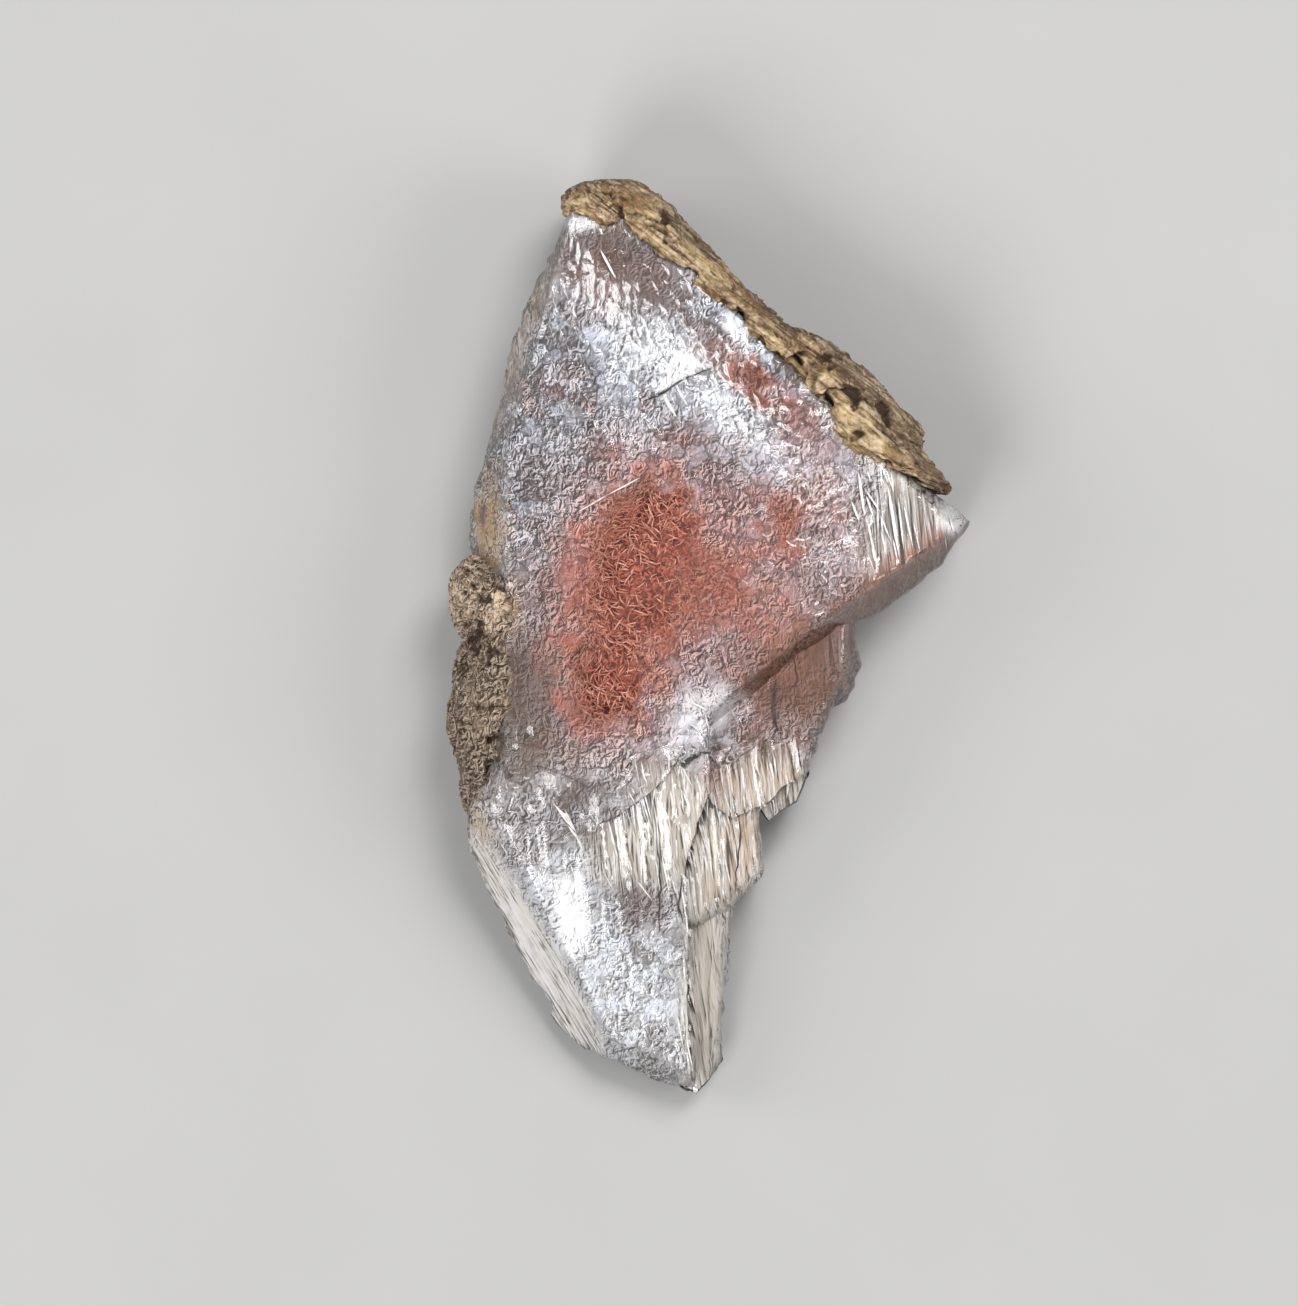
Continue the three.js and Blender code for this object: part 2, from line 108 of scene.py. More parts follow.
def noise(x, y, z, size, seed):
    """Smooth noise from -1 to 1: the eight lattice numbers round a point, blended by 3t^2 - 2t^3."""
    shape = np.broadcast(x, y, z).shape
    p = [np.broadcast_to(c, shape) / size for c in (x, y, z)]
    cell = [np.floor(c).astype(np.int64) for c in p]
    t = [c - k for c, k in zip(p, cell)]
    t = [c * c * (3 - 2 * c) for c in t]
    total = np.zeros(shape)
    for corner in itertools.product((0, 1), repeat=3):
        weight = math.prod(c if step else 1 - c for c, step in zip(t, corner))
        total += weight * lattice(*(k + step for k, step in zip(cell, corner)), seed)
    return total


def fractal(x, y, z, size, seed, octaves=3):
    """Noise plus half as much noise of half the size, and so on."""
    return sum(noise(x, y, z, size / 2**k, seed + 17 * k) / 2**k for k in range(octaves))


def cells(x, y, size, seed):
    """Distances to the nearest and the second nearest of a jittered lattice of points, over size."""
    u, v = x / size, y / size
    cu, cv = np.floor(u).astype(np.int64), np.floor(v).astype(np.int64)
    first = np.full(u.shape, 9.0)
    second = np.full(u.shape, 9.0)
    zero = np.zeros_like(cu)
    for i, j in itertools.product((-1, 0, 1), repeat=2):
        pu = cu + i + 0.5 + 0.45 * lattice(cu + i, cv + j, zero, seed)
        pv = cv + j + 0.5 + 0.45 * lattice(cu + i, cv + j, zero, seed + 1)
        d = np.hypot(u - pu, v - pv)
        second = np.minimum(second, np.maximum(first, d))
        first = np.minimum(first, d)
    return first, second


def ease(x, low, high):
    """0 below low, 1 above high, and 3t^2 - 2t^3 between them."""
    t = np.clip((x - low) / (high - low), 0, 1)
    return t * t * (3 - 2 * t)


def rotate(x, y, angle):
    """Places on the plan turned anticlockwise round the origin by an angle in radians."""
    c, s = np.cos(angle), np.sin(angle)
    return x * c - y * s, y * c + x * s


def spot(x, y, centre, size, turn=0.0, edge=2.2):
    """1 in the middle of an ellipse turned by some degrees, one half on its rim: 0.5 to the power r^edge."""
    u, v = rotate(x - centre[0], y - centre[1], -math.radians(turn))
    r = np.minimum(np.hypot(u / size[0], v / size[1]), 9)
    return np.exp(-HALF_FALL * r**edge)


def spots(x, y, items, edge=2.2, fray=0.0, seed=0):
    """Spots laid over each other like washes, their edges frayed by noise. Each is (centre, size, turn,
    strength)."""
    if fray:
        x, y = [c + fray * fractal(x, y, 0, 1.4, seed + step, 3) for c, step in ((x, 0), (y, 5))]
    return 1 - np.prod([1 - s * spot(x, y, c, size, turn, edge) for c, size, turn, s in items], axis=0)


def strands(x, y, lean, pitch, length, seed):
    """Noise drawn out along a line that leans from +Y by some degrees."""
    across, along = rotate(x, y, -math.radians(lean))
    return noise(across / pitch, along / length, 0, 1.0, seed)


# Meshes


def new_object(name, data):
    """An object at the origin, put in the scene."""
    item = bpy.data.objects.new(name, data)
    bpy.context.scene.collection.objects.link(item)
    return item


def add_values(mesh, values):
    """Numbers at each point of a mesh, which its material reads by name."""
    for key, value in values.items():
        layer = mesh.attributes.new(key, "FLOAT", "POINT")
        layer.data.foreach_set("value", np.asarray(value, dtype=np.float32).ravel())


def make_piece(name, verts, faces, material=None, values=None):
    """An object whose mesh holds the points, given in millimetres, and the faces."""
    mesh = bpy.data.meshes.new(name)
    mesh.from_pydata((np.asarray(verts) * MM).tolist(), [], faces)
    add_values(mesh, values or {})
    if material is not None:
        mesh.materials.append(material)
    return new_object(name, mesh)


def grid_quads(rows, columns, wrap=False):
    """Corner numbers of the quads of a grid of rows and columns, whose columns may close on themselves."""
    span = columns if wrap else columns - 1
    i, j = np.meshgrid(np.arange(rows - 1), np.arange(span), indexing="ij")
    k = (j + 1) % columns
    quads = [i * columns + j, (i + 1) * columns + j, (i + 1) * columns + k, i * columns + k]
    return np.stack(quads, axis=-1).reshape(-1, 4)


def ball_directions(rows, columns):
    """Directions round a point by latitude and longitude, and then straight up and straight down."""
    v = np.linspace(0, math.pi, rows + 2)[1:-1, None]
    u = np.linspace(0, 2 * math.pi, columns, endpoint=False)[None, :]
    n = np.stack([np.sin(v) * np.cos(u), np.sin(v) * np.sin(u), np.cos(v) + 0 * u], axis=-1).reshape(-1, 3)
    return np.concatenate([n, [[0, 0, 1], [0, 0, -1]]])


def ball_faces(rows, columns):
    """Faces of a ball: a band of quads wrapped round, and a fan to each of its last two points, the poles."""
    faces = grid_quads(rows, columns, wrap=True).tolist()
    k = np.arange(columns)
    north, south = rows * columns, rows * columns + 1
    last = (rows - 1) * columns
    faces += np.stack([np.full(columns, north), k, (k + 1) % columns], axis=1).tolist()
    faces += np.stack([np.full(columns, south), last + (k + 1) % columns, last + k], axis=1).tolist()
    return faces


def tube_faces(rows, columns):
    """Faces of a closed tube of rings: its band of quads, and then its two caps."""
    ring = np.arange(columns)
    caps = [ring.tolist(), (ring[::-1] + (rows - 1) * columns).tolist()]
    return grid_quads(rows, columns, wrap=True)[:, ::-1].tolist(), caps


def repeated(faces, count, points):
    """Faces with as many corners each, repeated for so many like shapes that have so many points each."""
    starts = points * np.arange(count)[:, None, None]
    return (np.array(faces) + starts).reshape(-1, len(faces[0])).tolist()


def left_of(runs):
    """Unit vectors on the plan, each square to one of the runs and on its left."""
    return np.stack([-runs[:, 1], runs[:, 0]], axis=1) / np.maximum(np.hypot(*runs.T), TINY)[:, None]


def unit(vectors):
    """The vectors, each made one unit long."""
    return vectors / np.maximum(np.linalg.norm(vectors, axis=-1), TINY)[..., None]


def smooth_rows(points, count):
    """Even steps along a smooth curve through points: Catmull-Rom spline in one parameter."""
    points = np.array(points, dtype=float)
    p = np.concatenate([2 * points[:1] - points[1:2], points, 2 * points[-1:] - points[-2:-1]])
    s = np.linspace(0, len(points) - 1 - TINY, count)
    i = s.astype(int)
    t = (s - i)[:, None]
    a, b, c, d = p[i], p[i + 1], p[i + 2], p[i + 3]
    return 0.5 * (2 * b + (c - a) * t + (2 * a - 5 * b + 4 * c - d) * t**2 + (3 * b - a - 3 * c + d) * t**3)


def shade_smooth(piece, sharp=None):
    """Smooth shading, but for edges sharper than so many degrees, if that is given."""
    piece.data.shade_smooth()
    if sharp is not None:
        piece.data.set_sharp_from_angle(angle=math.radians(sharp))


def settle(piece, slot, *nodes):
    """The piece rides on the one body and stands for the nodes, whose parts are hidden. The slot is not used.
    """
    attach(piece, "root")
    if nodes:
        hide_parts(*nodes)


def within_box(verts):
    """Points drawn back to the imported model's box."""
    return np.clip(verts, BOX_LOW, BOX_HIGH)


# Where the random numbers of each kind of piece start
SEEDS = {"plate": 100, "lump": 300, "wire": 400, "matrix": 700, "needle": 900, "crack": 950}
PLATE_SEED_STEP = 10


# Plates: the cleavage steps of the blade. An outline is four chains of points. Those of the left and right
# run from the ends of the top to the ends of the bottom, and leave these out.


def chain(points, count):
    """Points spaced evenly along a polyline."""
    run = np.concatenate([[0], np.cumsum(np.hypot(*np.diff(points, axis=0).T))])
    at = np.linspace(0, run[-1], count)
    return np.stack([np.interp(at, run, values) for values in points.T], axis=1)


def frayed_chain(points, count, depth, seed):
    """A chain whose inner points stray square to it by noise, as a broken edge does."""
    p = chain(points, count)
    stray = fractal(*p.T, 0, EDGE_GRAIN, seed, 3) * depth
    from_end = np.minimum(np.arange(count), np.arange(count)[::-1])
    return p + left_of(np.gradient(p, axis=0)) * (stray * np.minimum(1, from_end / CALM_ENDS))[:, None]


def coons(top, right, bottom, left):
    """Surface between four edges: the blend of top and bottom, plus that of left and right, less that of the
    corners."""
    s = np.linspace(0, 1, len(top))[None, :, None]
    t = np.linspace(0, 1, len(left))[:, None, None]
    rows = (1 - t) * top[None] + t * bottom[None]
    columns = (1 - s) * left[:, None] + s * right[:, None]
    corners = (1 - t) * ((1 - s) * top[0] + s * top[-1]) + t * ((1 - s) * bottom[0] + s * bottom[-1])
    return rows + columns - corners


def bevel(start, end, fall):
    """Face through a line between two points in space, which falls so much for each unit to the left of the
    line. Given as (height at origin, rise along x, rise along y)."""
    run = np.subtract(end, start)
    nx, ny, nz = np.cross(run, (*left_of(run[None, :2])[0], -fall))
    return (start[2] + (nx * start[0] + ny * start[1]) / nz, -nx / nz, -ny / nz)


def level(x, y, z, rise_x, rise_y):
    """Nearly level face through a point, by its rise along x and y."""
    return (z - rise_x * x - rise_y * y, rise_x, rise_y)


def face_height(faces, x, y):
    """Height of the lowest of the faces over each point."""
    return np.min([a + b * x + c * y for a, b, c in faces], axis=0)


BLOCK = {
    "top": [(-9.0, 28.2), (-7.2, 28.3), (-4.6, 27.9)],
    "right": [(3.0, 20.4), (9.6, 13.8), (15.2, 9.2)],
    "bottom": [
        (-15.4, -8.6), (-13.7, -8.7), (-12.7, -9.3), (-11.5, -8.4), (-9.8, -8.9), (-7.8, -9.9),
        (-5.8, -9.2), (-4.5, -8.2), (-2.8, -8.0), (-1.8, -7.8), (-0.7, -6.9), (0.3, -6.3), (1.2, -6.5),
        (2.0, -5.7), (2.9, -4.9), (3.5, -3.9), (4.1, -2.6), (5.2, -1.4), (6.3, -0.7), (7.7, -0.1),
        (8.4, 0.9), (9.7, 0.9), (10.9, 1.6), (13.4, 3.2), (15.3, 4.9), (17.1, 7.7),
    ],
    "left": [
        (-9.6, 26.6), (-10.7, 24.5), (-11.8, 22.1), (-12.9, 19.8), (-13.2, 18.2), (-13.8, 15.1),
        (-14.5, 12.7), (-15.3, 10.3), (-15.7, 8.0), (-15.8, 6.2), (-15.3, 5.2), (-15.2, 2.5), (-15.3, -1.0),
        (-15.5, -5.4),
    ],
    "faces": [
        level(0, 6, 11.8, 0, 0),
        bevel((-12, 27.4, 10.7), (0, 27.4, 10.7), 0.8),
        bevel((-4.1, 27.1, 11.0), (12.8, 10.2, 11.0), 3.0),
        bevel((15.7, 9.6, 9.9), (16.3, 7.0, 9.6), 2.4),
        bevel((15.6, 6.9, 10.3), (8.3, 1.5, 10.7), 2.6),
        bevel((-13.4, -9, 10.4), (-13.2, 8, 10.6), 2.2),
        bevel((-13.4, 12, 10.8), (-9.4, 26.5, 10.4), 2.6),
        bevel((-7.1, -8, 11.5), (-9.2, 22, 11.5), 0.13),
        bevel((-8, 12.7, 11.7), (3, 19, 11.7), 0.08),
        bevel((9, 16, 11.3), (9.6, 0, 11.3), 0.16),
        bevel((8, -1, 11.5), (-12, -5, 11.5), 0.11),
    ],
}

SLOPE = {
    "top": [(-15.0, -6.5), (-8.0, -6.0), (-1.0, -6.0)],
    "right": [(-2.4, -8.6)],
    "bottom": [
        (-13.7, -10.6), (-13.0, -12.4), (-11.8, -13.4), (-9.4, -13.7), (-7.5, -12.4), (-5.2, -11.1),
        (-3.6, -9.9),
    ],
    "left": [(-14.5, -8.6)],
    "faces": [
        level(-8, -8.6, 11.0, 0.02, 0.42),
        level(-8, -8.6, 10.9, 0.0, 0.05),
        bevel((-14, -13, 8.6), (-13.4, -8, 9.6), 1.4),
    ],
}

BODY = {
    "top": [(-15.2, -6.0), (-8.0, -5.5), (0.0, -5.0)],
    "right": [
        (0.3, -9.9), (-0.6, -11.9), (-1.4, -14.5), (-1.6, -16.6), (-1.2, -18.9), (-1.3, -23.6),
        (-1.1, -27.6),
    ],
    "bottom": [
        (-10.4, -24.9), (-9.7, -25.8), (-8.4, -26.9), (-5.9, -27.9), (-4.1, -28.8), (-2.3, -29.4),
        (-0.9, -29.5),
    ],
    "left": [
        (-15.5, -10.1), (-15.9, -12.4), (-15.6, -14.0), (-13.8, -17.9), (-11.9, -21.9), (-10.3, -24.1),
    ],
    "faces": [
        level(-5, -12, 9.2, -0.05, 0.24),
        bevel((-5.3, -27.8, 5.2), (-13.2, -13.1, 8.9), 1.45),
        bevel((-2, -24, 6.2), (-9.6, -13.8, 9.0), 0.17),
        bevel((-1.2, -28.7, 4.6), (-8.6, -25.2, 5.6), 1.3),
        bevel((-14.6, -13.5, 9.6), (-13.4, -6.0, 9.9), 1.8),
    ],
}

SHELF = {
    "top": [(-0.6, -3.0), (3.0, 1.2), (9.0, 1.9)],
    "right": [(9.6, 0.9), (9.6, 0.1), (9.95, -1.4), (9.6, -3.0), (9.1, -3.9), (8.1, -4.6), (7.7, -5.4)],
    "bottom": [(-0.6, -7.6), (0.8, -8.2), (1.8, -7.8), (2.6, -7.4), (3.5, -6.7), (5.2, -6.4), (7.4, -6.2)],
    "left": [(-0.8, -5.5)],
    "faces": [
        level(5, -3, 8.7, -0.09, 0.11),
        bevel((9.2, 1, 8.1), (9, -2.6, 7.9), 2.2),
        bevel((8.6, -2.6, 8.0), (6.9, -6.4, 7.6), 2.2),
    ],
}

FRINGE = {
    "top": [(-1.2, -5.5), (3.0, -5.0), (7.4, -5.2)],
    "right": [(7.4, -6.2), (7.1, -6.9), (6.9, -7.7)],
    "bottom": [
        (0.9, -11.3), (1.4, -11.9), (2.7, -11.3), (3.5, -10.9), (4.1, -10.5), (4.8, -9.7), (5.7, -9.3),
        (6.5, -8.7),
    ],
    "left": [(-0.8, -8.5), (0.0, -10.8)],
    "faces": [
        level(4, -8, 7.8, -0.08, 0.19),
        bevel((7, -5.6, 7.6), (6.1, -8.8, 7.0), 2.4),
    ],
}

TOOTH = {
    "top": [(2.0, -8.0), (4.0, -7.5), (6.0, -7.2)],
    "right": [(6.5, -8.7)],
    "bottom": [(3.4, -11.3), (3.9, -12.1), (4.8, -11.3), (5.8, -10.7)],
    "left": [(2.6, -10.0)],
    "faces": [level(5, -10.5, 5.4, -0.14, 0.12)],
}

APRON = {
    "top": [(-2.4, -9.0), (1.0, -8.0), (3.5, -10.2)],
    "right": [(3.3, -12.4), (3.6, -14.8)],
    "bottom": [
        (-2.4, -18.2), (-1.1, -18.9), (0.3, -18.3), (1.2, -17.9), (1.9, -17.2), (2.7, -16.4), (3.5, -15.6),
    ],
    "left": [(-2.5, -13.5)],
    "faces": [
        level(1, -14, 6.7, -0.06, 0.1),
        bevel((3, -10.6, 6.6), (3.1, -15.6, 6.3), 1.8),
        bevel((2.9, -15.4, 6.3), (-1, -18.5, 6.2), 1.5),
    ],
}

BLADE = {
    "top": [(-2.8, -16.0), (0.0, -16.0), (1.9, -16.4)],
    "right": [
        (1.5, -19.0), (1.3, -21.9), (1.0, -23.4), (0.9, -24.2), (0.7, -25.8), (0.9, -27.6), (0.6, -28.2),
        (0.1, -29.0),
    ],
    "bottom": [(-2.8, -28.6), (-1.7, -29.6), (-0.8, -30.0)],
    "left": [(-2.9, -22.0)],
    "faces": [
        level(0, -19, 4.9, -0.05, 0.21),
        bevel((1.3, -16, 5.2), (0.2, -28.4, 2.6), 1.4),
    ],
}


def block_relief(x, y):
    """Etched scales over the thick block, long fibres towards its right corner and two square-edged pits."""
    near, far = cells(x + 0.3 * noise(x, y, 0, 1.1, 5), (y + 0.3 * noise(x, y, 0, 1.1, 6)) * 0.8, 0.85, 3)
    scales = 0.045 * (ease(far - near, 0.0, 0.45) - 0.5) - 0.03 * near
    swell = 0.09 * fractal(x, y, 0, 3.5, 8, 2)
    threads = 0.1 * strands(x, y, -8, 0.45, 3.5, 9) + 0.05 * strands(x, y, -5, 0.25, 2.0, 10)
    right = ease(x, 8.2, 9.6)
    calm = (1 - 0.85 * spots(x, y, WINDOW, 4.6)) * (1 - 0.85 * spots(x, y, CALM, 3.0))
    slant = -0.42 * ease(0.67 * x + 0.74 * y, 9.4, 14.4)
    pits = 0.5 * spot(x, y, (6.9, 3.0), (0.75, 1.1), 6, 8) + 0.45 * spot(x, y, (6.2, 6.7), (0.95, 0.5), 8, 8)
    return slant + swell + scales * (1 - 0.8 * right) * calm + threads * right - pits


def slope_relief(x, y):
    """Rough conchoidal slope with a few fibres that run down it."""
    near, _ = cells(x, y * 0.8, 0.8, 31)
    return 0.12 * fractal(x, y, 0, 1.6, 32, 3) - 0.06 * near + 0.12 * strands(x, y, 24, 0.5, 3.0, 33)


def body_relief(x, y):
    """Long rails along the left edge, upright fibres in the middle and etched scales below them."""
    rail_side = ease(-x - 0.54 * (y + 13.1) - 13.0, -0.5, 0.6)
    rails = 0.2 * strands(x, y, 30, 0.55, 30, 41) + 0.1 * strands(x, y, 30, 0.3, 20, 42)
    upper = ease(y, -20.5, -18.0)
    threads = 0.13 * strands(x, y, 6, 0.5, 6, 43) + 0.05 * strands(x, y, 3, 0.28, 3, 44)
    near, far = cells(x, y, 0.75, 45)
    scales = 0.08 * (ease(far - near, 0, 0.4) - 0.5) + 0.06 * fractal(x, y, 0, 1.6, 46, 2)
    middle = threads * upper + scales * (1 - 0.6 * upper)
    return rails * rail_side + middle * (1 - rail_side)


def shelf_relief(x, y):
    """Gentle swell with faint upright fibres."""
    return 0.1 * fractal(x, y, 0, 2.2, 51, 3) + 0.05 * strands(x, y, -6, 0.4, 2.5, 52)


def fringe_relief(x, y):
    """Strong upright fibres, like the teeth of a comb."""
    return 0.15 * strands(x, y, 10, 0.45, 5, 61) + 0.05 * strands(x, y, 8, 0.25, 2.5, 62)


def tooth_relief(x, y):
    """Small swell."""
    return 0.05 * fractal(x, y, 0, 1.2, 71, 2)


def apron_relief(x, y):
    """Upright fibres over a small swell."""
    return 0.13 * strands(x, y, 5, 0.5, 7, 81) + 0.05 * fractal(x, y, 0, 1.0, 82, 2)


def blade_relief(x, y):
    """Straight upright striations."""
    return 0.07 * strands(x, y, 2, 0.42, 20, 91) + 0.02 * strands(x, y, 2, 0.25, 6, 92)


# Each plate's outline and faces, its relief and the height of its back. Then, for the veil a little way
# inside it, the depth below the front, the distance in from the edge and the height of the foot, all in mm.
PLATES = {
    "block": (BLOCK, block_relief, 0.0, 0.28, 0.26, 0.40),
    "slope": (SLOPE, slope_relief, 0.02, 0.3, 0.26, 0.46),
    "body": (BODY, body_relief, 0.01, 0.28, 0.22, 0.34),
    "shelf": (SHELF, shelf_relief, 0.03, 0.3, 0.22, 0.31),
    "fringe": (FRINGE, fringe_relief, 0.04, 0.26, 0.15, 0.28),
    "tooth": (TOOTH, tooth_relief, 0.05, 0.2, 0.13, 0.43),
    "apron": (APRON, apron_relief, 0.06, 0.26, 0.15, 0.25),
    "blade": (BLADE, blade_relief, 0.015, 0.26, 0.15, 0.22),
}
# A veil's grid cell in mm, how rough it is beside its plate, and how much it covers where it is thin
VEIL_CELL = 0.35
VEIL_FRAY = 0.6
VEIL_COVER = 0.6
# From where to where a veil's wall begins below its front, in mm, and how light it is at least
VEIL_WALL = (0.7, 1.4)
WALL_TONE = 0.34
# Edges sharper than so many degrees stay sharp
PLATE_SHARP = 42
VEIL_SHARP = 50

# Fewest points along an edge of a plate's grid
LEAST_POINTS = 8
# Rows of a wall, as shares of the way from its foot up to the rim
WALL_LEVELS = (0.85, 0.68, 0.5, 0.33, 0.16, 0.0)
# Height of a wall's foot above the back, how far the back is drawn in from it, and the length of rim that is
# evened out to lay it
FOOT_HEIGHT = 1.3
FOOT_INSET = 0.8
FOOT_EVEN = 2.4
# How far the edge strays on the plan, the size of its grain, and over how many points it calms at its ends
EDGE_DEPTH = 0.13
EDGE_GRAIN = 0.9
CALM_ENDS = 6
# How far the fibres of a wall stand out, how wide they are and how long
WALL_DEPTH = 0.16
FIBRE_WIDTH = 0.5
FIBRE_LENGTH = 3.0


def rim_loop(rows, columns):
    """Numbers of the points round a grid's rim, in the order that its outline runs."""
    index = np.arange(rows * columns).reshape(rows, columns)
    return np.concatenate([index[0, :-1], index[:-1, -1], index[-1, :0:-1], index[:0:-1, 0]])


def sides(plate):
    """The four chains of points round a plate: top, right, bottom and left."""
    top, bottom = plate["top"], plate["bottom"]
    right, left = [top[-1], *plate["right"], bottom[-1]], [top[0], *plate["left"], bottom[0]]
    return [np.array(points) for points in (top, right, bottom, left)]


def plate_counts(plate, cell):
    """How many columns and rows of points keep the grid to about that cell size."""
    top, right, bottom, left = (np.hypot(*np.diff(side, axis=0).T).sum() for side in sides(plate))
    return max(LEAST_POINTS, int(max(top, bottom) / cell)), max(LEAST_POINTS, int(max(right, left) / cell))


def plate_surface(plate, relief, base, cell, seed, inset=0.0, depth=0.0, fray=1.0):
    """Closed surface of a plate. Its front is a Coons patch between the four edges, lifted to the lowest of
    its faces plus relief. Its wall is the edge carried down with upright fibres. Its back is a flat face
    drawn in from the edge. An inset and a depth give a smaller plate inside it."""
    columns, rows = plate_counts(plate, cell)
    edges = zip(sides(plate), (columns, rows, columns, rows))
    plan = coons(*(frayed_chain(side, n, EDGE_DEPTH * fray, seed + i) for i, (side, n) in enumerate(edges)))
    if inset:
        flat = plan.reshape(-1, 2)
        centre = (flat.min(axis=0) + flat.max(axis=0)) / 2
        plan = centre + (plan - centre) * (1 - 2 * inset / np.ptp(flat, axis=0))
    x, y = plan[..., 0], plan[..., 1]
    z = face_height(plate["faces"], x, y) + fray * relief(x, y) - depth
    front = np.stack([x, y, z], axis=-1).reshape(-1, 3)
    loop = rim_loop(rows, columns)
    count = len(loop)
    rim = front[loop]
    outwards = left_of((np.roll(rim, -1, axis=0) - np.roll(rim, 1, axis=0))[:, :2])
    walls = []
    for part in WALL_LEVELS:
        z = base + FOOT_HEIGHT + (rim[:, 2] - base - FOOT_HEIGHT) * part
        stray = noise(rim[:, 0] / FIBRE_WIDTH, rim[:, 1] / FIBRE_WIDTH, z / FIBRE_LENGTH, 1.0, seed + 4)
        stray = fray * WALL_DEPTH * stray * math.sin(math.pi * min(1, (1 - part) * 1.5)) ** 2
        walls.append(np.column_stack([rim[:, :2] + outwards * stray[:, None], z]))
    window = max(3, int(FOOT_EVEN / cell) | 1)
    wide = np.concatenate([rim[-window:, :2], rim[:, :2], rim[:window, :2]])
    kernel = np.ones(window) / window
    even = np.transpose([np.convolve(row, kernel, mode="same")[window:-window] for row in wide.T])
    foot = np.column_stack([even - outwards * FOOT_INSET, np.full(count, base)])
    verts = within_box(np.concatenate([front, *walls, foot]))
    faces = grid_quads(rows, columns).tolist()
    rings = [loop] + [rows * columns + count * k + np.arange(count) for k in range(len(walls) + 1)]
    for upper, lower in zip(rings, rings[1:]):
        faces += np.stack([upper, np.roll(upper, -1), np.roll(lower, -1), lower], axis=1).tolist()
    faces.append(rings[-1].tolist())
    return verts, faces


def inside(outline, points):
    """Which points lie inside a closed outline: an odd number of its edges cross the line to their right."""
    a, b = outline, np.roll(outline, -1, axis=0)
    x, y = points[..., 0, None], points[..., 1, None]
    spans = (a[:, 1] > y) != (b[:, 1] > y)
    rise = np.where(b[:, 1] == a[:, 1], TINY, b[:, 1] - a[:, 1])
    cross = a[:, 0] + (y - a[:, 1]) / rise * (b[:, 0] - a[:, 0])
    return (spans & (x < cross)).sum(axis=-1) % 2 == 1


def plate_outline(plate):
    """The plate's outline as one closed row of points."""
    top, right, bottom, left = sides(plate)
    return np.concatenate([top[:-1], right[:-1], bottom[:0:-1], left[:0:-1]])


def front_height(x, y):
    """Height of the highest plate over each point of the plan, without relief; 0 off the blade."""
    points = np.stack([x, y], axis=-1)
    heights = [
        np.where(inside(plate_outline(plate), points), face_height(plate["faces"], x, y), 0)
        for plate, *_ in PLATES.values()
    ]
    return np.max(heights, axis=0)


def on_front(points, margin):
    """Which points lie on the blade with that margin round them."""
    around = [(margin, 0), (-margin, 0), (0, margin), (0, -margin)]
    return np.all([front_height(*(points + offset).T) > 0 for offset in around], axis=0)


def lump_surface(centre, size, turn, seed, rows=16, columns=26):
    """Ball by latitude and longitude, stretched, turned by some degrees and roughened; poles closed."""
    n = ball_directions(rows, columns)
    x, y, z = (n * (1 + 0.12 * fractal(*n.T, 0.7, seed, 2))[:, None] * np.array(size)).T
    return np.column_stack([*rotate(x, y, math.radians(turn)), z]) + centre, ball_faces(rows, columns)


# Lumps on the plates' ledges: centre, half axes, turn in degrees
LUMPS = [
    ((-3.6, -8.4, 10.3), (1.3, 0.8, 0.9), 23),
    ((-1.4, -7.6, 10.2), (1.2, 0.9, 0.9), -29),
    ((0.9, -7.5, 8.9), (1.2, 0.8, 0.8), 34),
    ((-2.2, -10.4, 9.2), (0.9, 1.8, 0.7), 17),
    ((-12.2, -9.4, 10.4), (1.1, 0.7, 0.7), 11),
]


def union(name, parts):
    """One closed mesh that joins the parts, by Blender's own join of solids."""
    whole = parts[0]
    for part in parts[1:]:
        join = whole.modifiers.new(part.name, "BOOLEAN")
        join.operation = "UNION"
        join.solver = "MANIFOLD"
        join.object = part
    bpy.context.view_layer.update()
    mesh = bpy.data.meshes.new_from_object(whole.evaluated_get(bpy.context.evaluated_depsgraph_get()))
    for part in parts:
        bpy.data.meshes.remove(part.data)
    mesh.name = name
    mesh.materials.clear()
    return new_object(name, mesh)


def mesh_points(mesh):
    """The mesh's points in millimetres, one row each."""
    flat = np.empty(len(mesh.vertices) * 3, dtype=np.float32)
    mesh.vertices.foreach_get("co", flat)
    return flat.reshape(-1, 3).astype(float) / MM
